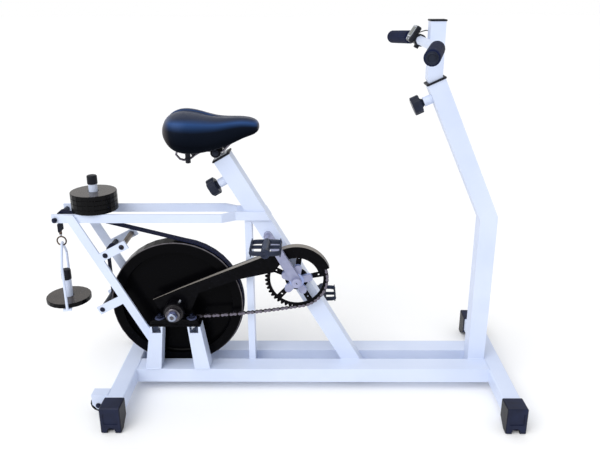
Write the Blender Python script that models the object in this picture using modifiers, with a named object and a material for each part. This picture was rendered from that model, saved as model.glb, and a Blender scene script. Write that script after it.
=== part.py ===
# Upright exercise bike with a weight basket brake, metres, +X to the front, +Z up, standing on z = 0.
# The drive side is at -Y. Every sub-part is one closed solid.
import math

import bmesh
import bpy
from mathutils import Matrix, Vector

GAP = 0.0003                 # clearance between pieces that touch
MERGE = 0.00001
WALL = 0.002                 # wall of every square and flat tube

# Base
RAIL_WIDTH = 0.060
RAIL_HEIGHT = 0.044
RAIL_BOTTOM = 0.0295
CROSS_WIDTH = 0.050
CROSS_HALF = 0.258           # half length of a cross tube, its ends inside the foot caps
REAR_TUBE_X = -0.443
FRONT_TUBE_X = 0.6634
CAP_WALL = 0.0033
CAP_LAP = 0.0224             # length of a cap over its tube's end
CAP_BEYOND = 0.037           # length of a cap past its tube's end
CAP_INNER_Y = CROSS_HALF - CAP_LAP
CAP_OUTER_Y = CROSS_HALF + CAP_BEYOND
CAP_HEEL_Z = 0.024           # underside of a cap at its inner end
CAP_TOP_RISE = 0.004
CAP_NOTCH_WIDTH = 0.023
CAP_NOTCH_HEIGHT = 0.017

# Transport wheels under the rear cross tube's ends
WHEEL_RADIUS = 0.025
WHEEL_WIDTH = 0.024
WHEEL_PIN_RADIUS = 0.004
WHEEL_PIN_BACK = 0.0274      # from the tube's rear face to the pin
WHEEL_PIN_Z = 0.040
BRACKET_FROM_END = 0.0524      # wheel bracket's middle, back from the tube's end
BRACKET_Y = CROSS_HALF - BRACKET_FROM_END
BRACKET_WIDTH = 0.0336
BRACKET_LENGTH = 0.045
BRACKET_BOTTOM = 0.027
BRACKET_WALL = 0.003

# Front post, its stem and the handlebar
POST_SIDE = 0.050
POST_BEND_Z = 0.528
POST_LEAN = math.radians(24.25)
POST_UPPER = 0.4206          # length above the bend
COLLAR_SIDE = 0.056
COLLAR_HEIGHT = 0.0055
COLLAR_DEPTH = 0.030         # sleeve inside the tube
STEM_SIDE = 0.040
STEM_TOP_Z = 1.067
STEM_RISE = 0.0112           # from the post's top to the stem's bend, along the post
STEM_INSIDE = 0.190
BAR_RADIUS = 0.0125
BAR_BELOW_TOP = 0.053
BAR_Z = STEM_TOP_Z - BAR_BELOW_TOP
BAR_STRAIGHT = 0.196         # half length of the straight middle
BAR_END_BACK = 0.039         # how far the ends sweep back
BAR_END_Y = 0.346
BAR_END_DROP = 0.0085
GRIP_RADIUS = 0.019
GRIP_LENGTH = 0.148
GRIP_END = 0.004
CONSOLE_Y = 0.085
CONSOLE_WIDTH = 0.060
CONSOLE_HEIGHT = 0.047
CONSOLE_DEPTH = 0.014
CONSOLE_TILT = math.radians(32.0)    # how far the display looks up
CONSOLE_ABOVE = 0.0055               # display centre above the bar along the display
CLAMP_RING_WALL = 0.003
CLAMP_RING_WIDTH = 0.020
CABLE_RADIUS = 0.0014

# Seat tube, seat post and saddle
CRANK_X = 0.0646
CRANK_Z = 0.352
SEAT_LEAN = math.radians(30.3)
SEAT_TUBE_UPPER = 0.4097     # from the crank axis to the tube's top
SEAT_INSIDE = 0.200
SHELL_RADIUS = 0.021
SHELL_HALF = 0.034
STUB_RADIUS = 0.011
SEAT_POST_RISE = 0.002
SADDLE_PIVOT_X = -0.158
SADDLE_PIVOT_Z = 0.7225
SADDLE_CLAMP_RADIUS = 0.014
SADDLE_CLAMP_HALF = 0.030
SADDLE_RAIL_RADIUS = 0.0035
SADDLE_RAIL_Y = 0.0215
BUMPER_X = -0.231
BUMPER_Y = 0.045
BUMPER_RADIUS = 0.0065
BUMPER_BOTTOM = 0.699
BUMPER_TOP = 0.738
SADDLE_WIRE_FRONT = ((-0.069, 0.0, 0.7730), (-0.0735, 0.009, 0.7705), (-0.0920, 0.0150, 0.7610), (-0.1180, 0.0200, 0.7465))
SADDLE_WIRE_GRIP = (0.022, 0.015, -0.018, -0.034)    # straight part through the clamp, from the pivot
SADDLE_WIRE_REAR = ((-0.212, 0.0360, 0.7200), (BUMPER_X, BUMPER_Y, 0.7080), (-0.252, 0.0480, 0.7110),
                    (-0.2625, 0.0470, 0.7230), (-0.2590, 0.0450, 0.7350), (-0.2540, 0.0440, 0.7430))

# Pull knobs
KNOB_RADIUS = 0.026
KNOB_HEIGHT = 0.024
KNOB_LOBES = 6
KNOB_REACH = 0.069           # knob centre from the tube's axis
KNOB_SHAFT_RADIUS = 0.006
BOSS_RADIUS = 0.013
BOSS_LENGTH = 0.024
POST_KNOB_DOWN = 0.0389      # below the post's top
SEAT_KNOB_DOWN = 0.0615

# Flywheel centre and size, from which its neighbours keep clear
WHEEL_X = -0.2934
AXLE_Z = 0.260
FLYWHEEL_RADIUS = 0.196
STRUT_CLEAR = 0.0135         # from the flywheel to the strut
ROLLER_CLEAR = 0.019         # from the flywheel to the low roller's axis

# Strut and the flat bars behind the seat tube
STRUT_REAR_X = WHEEL_X + FLYWHEEL_RADIUS + STRUT_CLEAR
STRUT_DEPTH = 0.0196
BAR_THICK = 0.0067
BAR_HEIGHT = 0.025
UPPER_Z = 0.5395             # middle height of the upper bars
UPPER_OUTER_Y = 0.054
UPPER_REAR_X = -0.626
JOG_START_X = -0.1464
JOG_END_X = -0.1094
SLANT_LEAN = math.radians(27.75)
SLANT_REAR_X = -0.2993       # where the slanted bars' rear edge would meet the floor
TOP_ROLLER = (-0.6154, 0.5370)
MID_ROLLER = (-0.4831, 0.4308)
MID_ROLLER_STEP = 0.0553
MID_PLATE_END = 0.016
LOW_ROLLER = (WHEEL_X - FLYWHEEL_RADIUS - ROLLER_CLEAR, 0.2596)
LOW_PLATE_END = 0.013
ROLLER_RADIUS = 0.008
BOLT_RADIUS = 0.004
BOLT_HEAD_RADIUS = 0.00625
BOLT_HEAD_HEIGHT = 0.004

# Flywheel, its stands and bearings
FLYWHEEL_HALF = 0.024
FLYWHEEL_RIM = 0.030
FLYWHEEL_WEB = 0.016
FLYWHEEL_HUB = 0.034
AXLE_RADIUS = 0.012
AXLE_RIGHT_Y = -0.117
AXLE_LEFT_Y = 0.104
STAND_TOP = 0.215
STAND_INNER_Y = 0.0373
STAND_TOP_NEAR = 0.0363      # from the axle to a leg's inner edge at the top
STAND_TOP_FAR = 0.0740
STAND_FOOT_NEAR = 0.0505
STAND_FOOT_FAR = 0.0969
STAND_WALL = 0.003
STAND_NOTCH_DEPTH = 0.021
PLATE_HALF = 0.075
PLATE_THICK = 0.0079
BLOCK_INNER_Y = 0.051
BLOCK_DEPTH = 0.036
BLOCK_HALF = 0.070
BLOCK_FOOT = 0.012
BLOCK_RADIUS = 0.031

# Chain drive
CHAIN_PITCH = 0.0127
CHAIN_Y = -0.044
RING_TEETH = 44
SPROCKET_TEETH = 16
TOOTH_HALF = 0.0015
PLATE_INNER = TOOTH_HALF + GAP
PLATE_OUTER = 0.0041
LINK_HALF = 0.0042
CHAIN_PIN_RADIUS = 0.003
CHAIN_SAG = 0.007
RING_WINDOW = 0.0775
RING_HOLE_AT = 0.065
SPIDER_RADIUS = 0.047
SPIDER_WIDTH = 0.022
SPINDLE_RADIUS = 0.0085
HUB_CAP_RADIUS = 0.015
HUB_CAP_Y = 0.0795            # outer face of a hub cap
HUB_BACK_RADIUS = 0.0135
CRANK_LENGTH = 0.162
CRANK_ANGLE = math.radians(119.8)
CRANK_WIDTH = 0.026
CRANK_INNER_Y = 0.056
CRANK_THICK = 0.014
PEDAL_LENGTH = 0.084
PEDAL_INNER_Y = 0.105
PEDAL_OUTER_Y = 0.205
PEDAL_THICK = 0.026
PEDAL_WINDOW = 0.0145        # from a pedal's middle to its windows
PEDAL_RIM = 0.007
PEDAL_SIDE = 0.008
PEDAL_SPINDLE = 0.006
GUARD_THICK = 0.0015
GUARD_INNER_Y = 0.0253
GUARD_RADIUS = 0.101
GUARD_INNER_RADIUS = 0.067
GUARD_TIP_ANGLE = math.radians(20.3)

# Weights and the hanger of the brake strap
PLATE_RADIUS = 0.0655
PLATE_HOLE = 0.015
STACK_X = -0.5164
STACK_COUNT = 4
STACK_PLATE = 0.0133
PEG_RADIUS = 0.0125
PEG_CAP_RADIUS = 0.0145
STACK_CAP_Z = 0.628
STACK_CAP_HEIGHT = 0.025
PEG_BASE_THICK = 0.005
PEG_BASE_LENGTH = 0.060
STRAP_HALF = 0.015
STRAP_THICK = 0.002
HANGER_X = -0.6264
HANGER_PIVOT_Z = 0.477
HANGER_TURN = math.radians(14.0)
RING_CENTRE_Z = 0.453
RING_RADIUS = 0.0135
RING_WIRE = 0.0015
HANGER_ROD = 0.004
HANGER_HALF = 0.0705
HANGER_KNEE_Z = 0.394
HANGER_BAR_Z = 0.259
HANGER_BAR_THICK = 0.005
HANGER_BAR_WIDTH = 0.025
HANGER_PLATE = 0.0135
HANGER_CAP_Z = 0.332
HANGER_CAP_HEIGHT = 0.031
CAP_SOCKET = 0.015

WHITE = (0.86, 0.89, 0.95)
BLACK = (0.02, 0.02, 0.025)
NAVY_BLACK = (0.03, 0.035, 0.05)
ZINC = (0.62, 0.63, 0.65)
ALUMINIUM = (0.60, 0.62, 0.68)
DARK_STEEL = (0.16, 0.13, 0.12)

for old in list(bpy.data.objects):
    bpy.data.objects.remove(old, do_unlink=True)

parts = bpy.data.collections.new("exercise_bike")
cutters = bpy.data.collections.new("cutters")
bpy.context.scene.collection.children.link(parts)
bpy.context.scene.collection.children.link(cutters)


# Shapes
def as_mesh(obj):
    """The object with its modifiers or bevel, as one closed mesh whose faces point out."""
    bpy.context.view_layer.update()
    depsgraph = bpy.context.evaluated_depsgraph_get()
    mesh = bpy.data.meshes.new_from_object(obj.evaluated_get(depsgraph))
    place = obj.matrix_world.copy()
    name = obj.name
    bpy.data.objects.remove(obj, do_unlink=True)
    bm = bmesh.new()
    bm.from_mesh(mesh)
    bmesh.ops.remove_doubles(bm, verts=bm.verts, dist=MERGE)
    bmesh.ops.recalc_face_normals(bm, faces=bm.faces)
    bm.to_mesh(mesh)
    bm.free()
    solid = bpy.data.objects.new(name, mesh)
    parts.objects.link(solid)
    solid.matrix_world = place
    return solid


def axis_frame(point, axis, side=(0, 1, 0)):
    """A matrix whose local Z runs along axis and whose local Y lies nearest to side."""
    z = Vector(axis).normalized()
    x = Vector(side).cross(z)
    if x.length < 0.001:
        x = Vector((1, 0, 0)).cross(z)
    x.normalize()
    y = z.cross(x)
    turn = Matrix((x, y, z)).transposed().to_4x4()
    return Matrix.Translation(Vector(point)) @ turn


def box(name, low, high, bevel=0.0, place=None):
    """A block between two corners, its edges rounded by bevel."""
    bm = bmesh.new()
    bmesh.ops.create_cube(bm, size=1.0)
    size = Vector(high) - Vector(low)
    bmesh.ops.scale(bm, vec=size, verts=bm.verts)
    mesh = bpy.data.meshes.new(name)
    bm.to_mesh(mesh)
    bm.free()
    obj = bpy.data.objects.new(name, mesh)
    parts.objects.link(obj)
    centre = Matrix.Translation((Vector(low) + Vector(high)) / 2)
    obj.matrix_world = place @ centre if place else centre
    if bevel:
        round_edges(obj, bevel)
    return obj


def round_edges(obj, width, segments=1):
    modifier = obj.modifiers.new("rounded", 'BEVEL')
    modifier.width = width
    modifier.segments = segments
    modifier.limit_method = 'ANGLE'
    modifier.angle_limit = math.radians(40)


PLANES = {
    'X': Matrix(((0, 0, 1, 0), (1, 0, 0, 0), (0, 1, 0, 0), (0, 0, 0, 1))),
    'Y': Matrix(((1, 0, 0, 0), (0, 0, -1, 0), (0, 1, 0, 0), (0, 0, 0, 1))),
    'Z': Matrix.Identity(4),
}


def prism(name, outline, low, high, axis='Y', holes=(), place=None):
    """A flat outline drawn across axis and extruded along it from low to high."""
    curve = bpy.data.curves.new(name, 'CURVE')
    curve.dimensions = '2D'
    curve.fill_mode = 'BOTH'
    curve.extrude = (high - low) / 2
    for loop in (outline, *holes):
        spline = curve.splines.new('POLY')
        spline.points.add(len(loop) - 1)
        for point, (a, b) in zip(spline.points, loop):
            point.co = (a, b, 0, 1)
        spline.use_cyclic_u = True
    obj = bpy.data.objects.new(name, curve)
    parts.objects.link(obj)
    middle = {'X': ((low + high) / 2, 0, 0), 'Y': (0, (low + high) / 2, 0), 'Z': (0, 0, (low + high) / 2)}
    obj.matrix_world = Matrix.Translation(middle[axis]) @ PLANES[axis]
    if place:
        obj.matrix_world = place @ obj.matrix_world
    return as_mesh(obj)


def turned(name, profile, place, steps=48, closed=False):
    """A profile of (radius, height) turned about the local Z axis of place."""
    mesh = bpy.data.meshes.new(name)
    edges = [(i, i + 1) for i in range(len(profile) - 1)]
    if closed:
        edges.append((len(profile) - 1, 0))
    mesh.from_pydata([(radius, 0, height) for radius, height in profile], edges, [])
    obj = bpy.data.objects.new(name, mesh)
    parts.objects.link(obj)
    obj.matrix_world = place
    screw = obj.modifiers.new("turned", 'SCREW')
    screw.axis = 'Z'
    screw.steps = steps
    screw.render_steps = steps
    screw.use_merge_vertices = True
    screw.merge_threshold = MERGE
    return as_mesh(obj)


def rod(name, points, radius, resolution=3):
    """A round rod or wire along points, its ends capped."""
    curve = bpy.data.curves.new(name, 'CURVE')
    curve.dimensions = '3D'
    curve.bevel_depth = radius
    curve.bevel_resolution = resolution
    curve.use_fill_caps = True
    spline = curve.splines.new('POLY')
    spline.points.add(len(points) - 1)
    for point, co in zip(spline.points, points):
        point.co = (*co, 1)
    obj = bpy.data.objects.new(name, curve)
    parts.objects.link(obj)
    return as_mesh(obj)


def cylinder(name, start, end, radius, steps=20):
    """A plain cylinder from start to end."""
    start = Vector(start)
    span = Vector(end) - start
    profile = [(0, span.length), (radius, span.length), (radius, 0), (0, 0)]
    return turned(name, profile, axis_frame(start, span), steps)


def combine(target, operand, operation):
    """A live Boolean on target; the operand goes to the cutters."""
    for collection in list(operand.users_collection):
        collection.objects.unlink(operand)
    cutters.objects.link(operand)
    operand.name = f"{target.name}_{operation.lower()}_{len(target.modifiers)}"
    operand.hide_render = True
    operand.display_type = 'WIRE'
    modifier = target.modifiers.new(operation.lower(), 'BOOLEAN')
    modifier.operation = operation
    modifier.solver = 'EXACT'
    modifier.object = operand
    return target


def cut(target, *operands):
    for operand in operands:
        combine(target, operand, 'DIFFERENCE')
    return target


def fuse(target, *operands):
    for operand in operands:
        combine(target, operand, 'UNION')
    return target


def finish(obj, colour, roughness=0.5, metallic=0.0, pivot=None):
    """Shading, the part's own material and, for a moving piece, the empty on its joint axis."""
    material = bpy.data.materials.new(obj.name)
    material.use_nodes = True
    shader = material.node_tree.nodes["Principled BSDF"]
    shader.inputs["Base Color"].default_value = (*colour, 1)
    shader.inputs["Roughness"].default_value = roughness
    shader.inputs["Metallic"].default_value = metallic
    obj.data.materials.clear()
    obj.data.materials.append(material)
    obj.data.shade_smooth()
    obj.data.set_sharp_from_angle(angle=math.radians(35))
    if pivot:
        bpy.context.view_layer.update()
        world = obj.matrix_world.copy()
        obj.parent = pivot
        obj.matrix_parent_inverse = pivot.matrix_world.inverted()
        obj.matrix_world = world
    return obj


def empty(name, point, parent=None):
    """An empty on a joint axis, which the pieces of that moving body hang from."""
    obj = bpy.data.objects.new(name, None)
    obj.empty_display_size = 0.05
    parts.objects.link(obj)
    obj.location = point
    bpy.context.view_layer.update()
    if parent:
        obj.parent = parent
        obj.matrix_parent_inverse = parent.matrix_world.inverted()
        bpy.context.view_layer.update()
    return obj


def arc(centre, radius, start, end, count):
    """Points on a circle, from angle start to angle end."""
    points = []
    for i in range(count + 1):
        angle = start + (end - start) * i / count
        points.append((centre[0] + radius * math.cos(angle), centre[1] + radius * math.sin(angle)))
    return points


def offset_path(points, distance):
    """An open path moved sideways to its left by distance, mitred at its corners."""
    moved = []
    for i, point in enumerate(points):
        here = Vector(point)
        before = (here - Vector(points[i - 1])).normalized() if i else None
        after = (Vector(points[i + 1]) - here).normalized() if i < len(points) - 1 else None
        before = before or after
        after = after or before
        left_a = Vector((-before.y, before.x))
        left_b = Vector((-after.y, after.x))
        middle = (left_a + left_b).normalized()
        moved.append(tuple(here + middle * distance / middle.dot(left_a)))
    return moved


def strip(points, half):
    """The outline of a path of constant width, 2 * half wide."""
    return offset_path(points, half) + offset_path(points, -half)[::-1]


def smooth_route(points, step):
    """Points every step or so on a smooth curve through the given ones."""
    route = []
    padded = [points[0], *points, points[-1]]
    for a, b, c, d in zip(padded, padded[1:], padded[2:], padded[3:]):
        a, b, c, d = (Vector(p) for p in (a, b, c, d))
        count = max(1, round((c - b).length / step))
        for i in range(count):
            t = i / count
            route.append((2 * b + (c - a) * t + (2 * a - 5 * b + 4 * c - d) * t ** 2
                          + (3 * b - a - 3 * c + d) * t ** 3) / 2)
    route.append(Vector(points[-1]))
    return route


# Values worked out from the sizes above
rail_top = RAIL_BOTTOM + RAIL_HEIGHT
rail_inner_y = POST_SIDE / 2 + GAP
rail_outer_y = rail_inner_y + RAIL_WIDTH
cross_half_width = CROSS_WIDTH / 2
post_x = FRONT_TUBE_X - cross_half_width - GAP - POST_SIDE / 2
post_up = Vector((-math.sin(POST_LEAN), 0, math.cos(POST_LEAN)))
post_rear = Vector((-math.cos(POST_LEAN), 0, -math.sin(POST_LEAN)))
post_bend = Vector((post_x, 0, POST_BEND_Z))
post_top = post_bend + post_up * POST_UPPER
seat_up = Vector((-math.sin(SEAT_LEAN), 0, math.cos(SEAT_LEAN)))
seat_rear = Vector((-math.cos(SEAT_LEAN), 0, -math.sin(SEAT_LEAN)))
crank_centre = Vector((CRANK_X, 0, CRANK_Z))
seat_top = crank_centre + seat_up * SEAT_TUBE_UPPER
axle_centre = Vector((WHEEL_X, 0, AXLE_Z))


def flat(vector):
    return (vector.x, vector.z)


def seat_side_x(z, side):
    """X of the seat tube's front (side 1) or rear (side -1) face at height z."""
    return CRANK_X - (z - CRANK_Z) * math.tan(SEAT_LEAN) + side * POST_SIDE / 2 / math.cos(SEAT_LEAN)


# Base
def cross_tube(name, x):
    tube = box(name, (x - cross_half_width, -CROSS_HALF, RAIL_BOTTOM), (x + cross_half_width, CROSS_HALF, rail_top),
               bevel=0.003)
    tube.modifiers["rounded"].segments = 1
    bore = box("bore", (x - cross_half_width + WALL, -CROSS_HALF - 0.01, RAIL_BOTTOM + WALL),
               (x + cross_half_width - WALL, CROSS_HALF + 0.01, rail_top - WALL))
    return cut(tube, bore)


def wheel_bracket(side):
    """A channel welded behind the rear cross tube: a top plate and two ears round the wheel."""
    back = REAR_TUBE_X - cross_half_width
    rear = back - BRACKET_LENGTH
    round_top = BRACKET_BOTTOM + BRACKET_LENGTH / 3
    outline = [(back + WALL / 2, rail_top), (rear, rail_top), (rear, round_top)]
    outline += [(back - BRACKET_LENGTH * 0.7, BRACKET_BOTTOM), (back - BRACKET_LENGTH * 0.3, BRACKET_BOTTOM)]
    outline += [(back + WALL / 2, RAIL_BOTTOM + WALL)]
    low = side * BRACKET_Y - BRACKET_WIDTH / 2
    channel = prism("channel", outline, low, low + BRACKET_WIDTH)
    inside = box("inside", (rear - 0.01, low + BRACKET_WALL, 0), (back, low + BRACKET_WIDTH - BRACKET_WALL,
                 rail_top - BRACKET_WALL))
    pin = (back - WHEEL_PIN_BACK, low, WHEEL_PIN_Z)
    hole = cylinder("hole", (pin[0], low - 0.01, pin[2]), (pin[0], low + BRACKET_WIDTH + 0.01, pin[2]),
                    WHEEL_PIN_RADIUS + GAP, 16)
    return channel, inside, hole


rear_tube = cross_tube("rear_cross_tube", REAR_TUBE_X)
for side in (-1, 1):
    channel, inside, hole = wheel_bracket(side)
    cut(fuse(rear_tube, channel), inside, hole)
finish(rear_tube, WHITE, 0.35)
finish(cross_tube("front_cross_tube", FRONT_TUBE_X), WHITE, 0.35)


def stand_leg(side, way, inset=0.0):
    """Side outline of one leg of a bearing stand: way -1 behind the axle, 1 in front of it."""
    foot = rail_top - WALL / 2 + inset
    near_top = WHEEL_X + way * (STAND_TOP_NEAR + inset)
    far_top = WHEEL_X + way * (STAND_TOP_FAR - inset)
    near_foot = WHEEL_X + way * (STAND_FOOT_NEAR + inset)
    far_foot = WHEEL_X + way * (STAND_FOOT_FAR - inset)
    top = STAND_TOP + (0.01 if inset else 0)
    return [(near_foot, foot), (far_foot, foot), (far_top, top), (near_top, top)]


def base_rail(name, side):
    """A rail with the two legs of its bearing stand welded on top."""
    start = REAR_TUBE_X + cross_half_width + GAP
    end = FRONT_TUBE_X - cross_half_width - GAP
    low, high = sorted((side * rail_inner_y, side * rail_outer_y))
    rail = box(name, (start, low, RAIL_BOTTOM), (end, high, rail_top))
    leg_low, leg_high = sorted((side * STAND_INNER_Y, side * (rail_outer_y - WALL / 4)))
    for way in (-1, 1):
        fuse(rail, prism("leg", stand_leg(side, way), leg_low, leg_high))
    cut(rail, box("bore", (start - 0.01, low + WALL, RAIL_BOTTOM + WALL), (end + 0.01, high - WALL, rail_top - WALL)))
    for way in (-1, 1):
        cut(rail, prism("pocket", stand_leg(side, way, STAND_WALL), leg_low + STAND_WALL, leg_high - STAND_WALL))
        near = WHEEL_X + way * (STAND_TOP_NEAR + 2 * STAND_WALL)
        far = WHEEL_X + way * (STAND_TOP_FAR - 2 * STAND_WALL)
        outer = side * rail_outer_y
        notch_low, notch_high = sorted((outer - side * 2 * STAND_WALL, outer + side * 0.01))
        cut(rail, box("notch", (min(near, far), notch_low, STAND_TOP - STAND_NOTCH_DEPTH),
                      (max(near, far), notch_high, STAND_TOP + 0.01)))
    return finish(rail, WHITE, 0.35)


def foot_cap(name, x, side):
    """A moulded cap over a cross tube's end, deep at its outer end and notched under it."""
    top = rail_top + CAP_TOP_RISE
    outline = [(side * CAP_INNER_Y, CAP_HEEL_Z), (side * CAP_INNER_Y, top - 0.001), (side * CAP_OUTER_Y, top + 0.002),
               (side * CAP_OUTER_Y, 0), (side * (CAP_OUTER_Y - 0.020), 0)]
    half = cross_half_width + CAP_WALL
    cap = prism(name, outline, x - half, x + half, axis='X')
    round_edges(cap, 0.0025, 1)
    low, high = sorted((side * (CAP_INNER_Y - 0.01), side * (CROSS_HALF + GAP)))
    socket = box("socket", (x - cross_half_width - GAP, low, RAIL_BOTTOM - GAP),
                 (x + cross_half_width + GAP, high, rail_top + GAP))
    low, high = sorted((side * (CAP_OUTER_Y - 0.016), side * (CAP_OUTER_Y + 0.01)))
    half_notch = CAP_NOTCH_WIDTH / 2
    arch = [(x - half_notch, -0.01), *arc((x, CAP_NOTCH_HEIGHT - half_notch), half_notch, math.pi, 0, 6),
            (x + half_notch, -0.01)]
    low_r, high_r = sorted((side * (CAP_OUTER_Y - 0.0015), side * (CAP_OUTER_Y + 0.01)))
    recess = box("recess", (x - half * 0.68, low_r, CAP_NOTCH_HEIGHT * 1.7), (x + half * 0.68, high_r, top * 0.82))
    cut(cap, socket, prism("arch", arch, low, high), recess)
    return finish(cap, NAVY_BLACK, 0.55)


for side, hand in ((-1, "right"), (1, "left")):
    base_rail(f"base_rail_{hand}", side)
    foot_cap(f"foot_cap_rear_{hand}", REAR_TUBE_X, side)
    foot_cap(f"foot_cap_front_{hand}", FRONT_TUBE_X, side)


def transport_wheel(name, side):
    """A wheel turning with its pin in the bracket's ears."""
    x = REAR_TUBE_X - cross_half_width - WHEEL_PIN_BACK
    y = side * BRACKET_Y
    reach = BRACKET_WIDTH / 2 + GAP
    head = reach + 0.003
    half = WHEEL_WIDTH / 2
    profile = [(0, head), (0.0065, head), (0.0065, reach), (WHEEL_PIN_RADIUS, reach), (WHEEL_PIN_RADIUS, half),
               (0.008, half), (0.008, half - 0.002), (0.020, half - 0.002), (0.022, half), (WHEEL_RADIUS, half - 0.003),
               (WHEEL_RADIUS, 0.003 - half), (0.022, -half), (0.020, 0.002 - half), (0.008, 0.002 - half),
               (0.008, -half), (WHEEL_PIN_RADIUS, -half), (WHEEL_PIN_RADIUS, -reach), (0.0065, -reach),
               (0.0065, -head), (0, -head)]
    wheel = turned(name, profile, axis_frame((x, y, WHEEL_PIN_Z), (0, 1, 0), (0, 0, 1)), 14)
    return finish(wheel, BLACK, 0.6, pivot=empty(f"{name}_axis", (x, y, WHEEL_PIN_Z)))


for side, hand in ((-1, "right"), (1, "left")):
    transport_wheel(f"transport_wheel_{hand}", side)


# Front post, seat tube and their fittings
def knob_bore(axis_point, rear):
    start = axis_point + rear * (STEM_SIDE / 2 + 0.001)
    return cylinder("knob_bore", start, axis_point + rear * (KNOB_REACH + 0.02), KNOB_SHAFT_RADIUS + GAP, 14)


def boss(axis_point, rear):
    start = axis_point + rear * (POST_SIDE / 2 - WALL / 2)
    return cylinder("boss", start, axis_point + rear * (POST_SIDE / 2 + BOSS_LENGTH), BOSS_RADIUS, 18)


def upright_path(start_z):
    return [(post_x, start_z), flat(post_bend), flat(post_top)]


post_knob_point = post_top - post_up * POST_KNOB_DOWN
front_post = prism("front_post", strip(upright_path(RAIL_BOTTOM), POST_SIDE / 2), -POST_SIDE / 2, POST_SIDE / 2)
inner = POST_SIDE / 2 - WALL
long_path = [(post_x, RAIL_BOTTOM - 0.01), flat(post_bend), flat(post_top + post_up * 0.01)]
fuse(front_post, boss(post_knob_point, post_rear))
cut(front_post, prism("hollow", strip(long_path, inner), -inner, inner), knob_bore(post_knob_point, post_rear))
finish(front_post, WHITE, 0.35)

seat_knob_point = seat_top - seat_up * SEAT_KNOB_DOWN
top_front = seat_top - seat_rear * POST_SIDE / 2
top_rear = seat_top + seat_rear * POST_SIDE / 2
seat_outline = [(seat_side_x(RAIL_BOTTOM, -1), RAIL_BOTTOM), (seat_side_x(RAIL_BOTTOM, 1), RAIL_BOTTOM),
                flat(top_front), flat(top_rear)]
seat_tube = prism("seat_tube", seat_outline, -POST_SIDE / 2, POST_SIDE / 2)
seat_foot = crank_centre - seat_up * (CRANK_Z / math.cos(SEAT_LEAN))
shell = cylinder("shell", (CRANK_X, -SHELL_HALF, CRANK_Z), (CRANK_X, SHELL_HALF, CRANK_Z), SHELL_RADIUS)
hollow = prism("hollow", strip([flat(seat_foot), flat(seat_top + seat_up * 0.01)], inner), -inner, inner)
spindle_bore = cylinder("spindle_bore", (CRANK_X, -0.05, CRANK_Z), (CRANK_X, 0.05, CRANK_Z), SPINDLE_RADIUS + GAP)
fuse(seat_tube, boss(seat_knob_point, seat_rear))
cut(seat_tube, hollow, knob_bore(seat_knob_point, seat_rear))
fuse(seat_tube, shell)
cut(seat_tube, spindle_bore)
finish(seat_tube, WHITE, 0.35)


def tube_collar(name, top, up):
    """A plastic collar: a square lip on the tube's end and a sleeve down inside it."""
    place = axis_frame(top, up)
    half = COLLAR_SIDE / 2
    sleeve = POST_SIDE / 2 - WALL - GAP
    bore = STEM_SIDE / 2 + GAP
    collar = box(name, (-half, -half, GAP), (half, half, GAP + COLLAR_HEIGHT), bevel=0.0015, place=place)
    fuse(collar, box("sleeve", (-sleeve, -sleeve, -COLLAR_DEPTH), (sleeve, sleeve, GAP + COLLAR_HEIGHT / 2),
                     place=place))
    cut(collar, box("bore", (-bore, -bore, -0.1), (bore, bore, 0.1), place=place))
    return finish(collar, BLACK, 0.5)


tube_collar("front_post_collar", post_top, post_up)
tube_collar("seat_tube_collar", seat_top, seat_up)


def pull_knob(name, axis_point, rear):
    """A lobed knob on a plain shaft whose pin ends short of the inner tube."""
    place = axis_frame(axis_point, rear)
    outline = []
    for i in range(KNOB_LOBES * 4):
        angle = math.tau * i / (KNOB_LOBES * 4)
        radius = KNOB_RADIUS - 0.0028 * (1 - abs(math.cos(angle * KNOB_LOBES / 2)) ** 0.6)
        outline.append((radius * math.cos(angle), radius * math.sin(angle)))
    low = KNOB_REACH - KNOB_HEIGHT / 2
    knob = prism(name, outline, low, low + KNOB_HEIGHT, axis='Z', place=place)
    round_edges(knob, 0.003, 1)
    tip = STEM_SIDE / 2 + 2 * GAP
    shoulder = POST_SIDE / 2 + BOSS_LENGTH + GAP
    profile = [(0, low + 0.004), (0.011, low + 0.004), (0.014, low - 0.001), (0.009, shoulder), (KNOB_SHAFT_RADIUS,
               shoulder), (KNOB_SHAFT_RADIUS, tip + 0.004), (KNOB_SHAFT_RADIUS - 0.001, tip + 0.001),
               (KNOB_SHAFT_RADIUS - 0.002, tip + 0.001), (0, tip + 0.001)]
    fuse(knob, turned("shaft", profile, place, 14))
    return finish(knob, NAVY_BLACK, 0.5, pivot=empty(f"{name}_axis", axis_point))


pull_knob("post_knob", post_knob_point, post_rear)
pull_knob("seat_knob", seat_knob_point, seat_rear)

stem_bend = post_top + post_up * STEM_RISE
stem_foot = stem_bend - post_up * STEM_INSIDE
stem_axis = empty("handlebar_height", post_top)
stem_inner = STEM_SIDE / 2 - WALL
stem_path = [flat(stem_foot), flat(stem_bend), (stem_bend.x, STEM_TOP_Z)]
stem_bore = [flat(stem_foot - post_up * 0.01), flat(stem_bend), (stem_bend.x, STEM_TOP_Z + 0.01)]
stem = prism("handlebar_stem", strip(stem_path, STEM_SIDE / 2), -STEM_SIDE / 2, STEM_SIDE / 2)
cut(stem, prism("hollow", strip(stem_bore, stem_inner), -stem_inner, stem_inner))
finish(stem, WHITE, 0.35, pivot=stem_axis)

bar_x = stem_bend.x - STEM_SIDE / 2 - BAR_RADIUS - GAP
bar_end = Vector((bar_x - BAR_END_BACK, BAR_END_Y, BAR_Z - BAR_END_DROP))
bar_turn = Vector((bar_x, BAR_STRAIGHT, BAR_Z))
bar_way = (bar_end - bar_turn).normalized()


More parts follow.
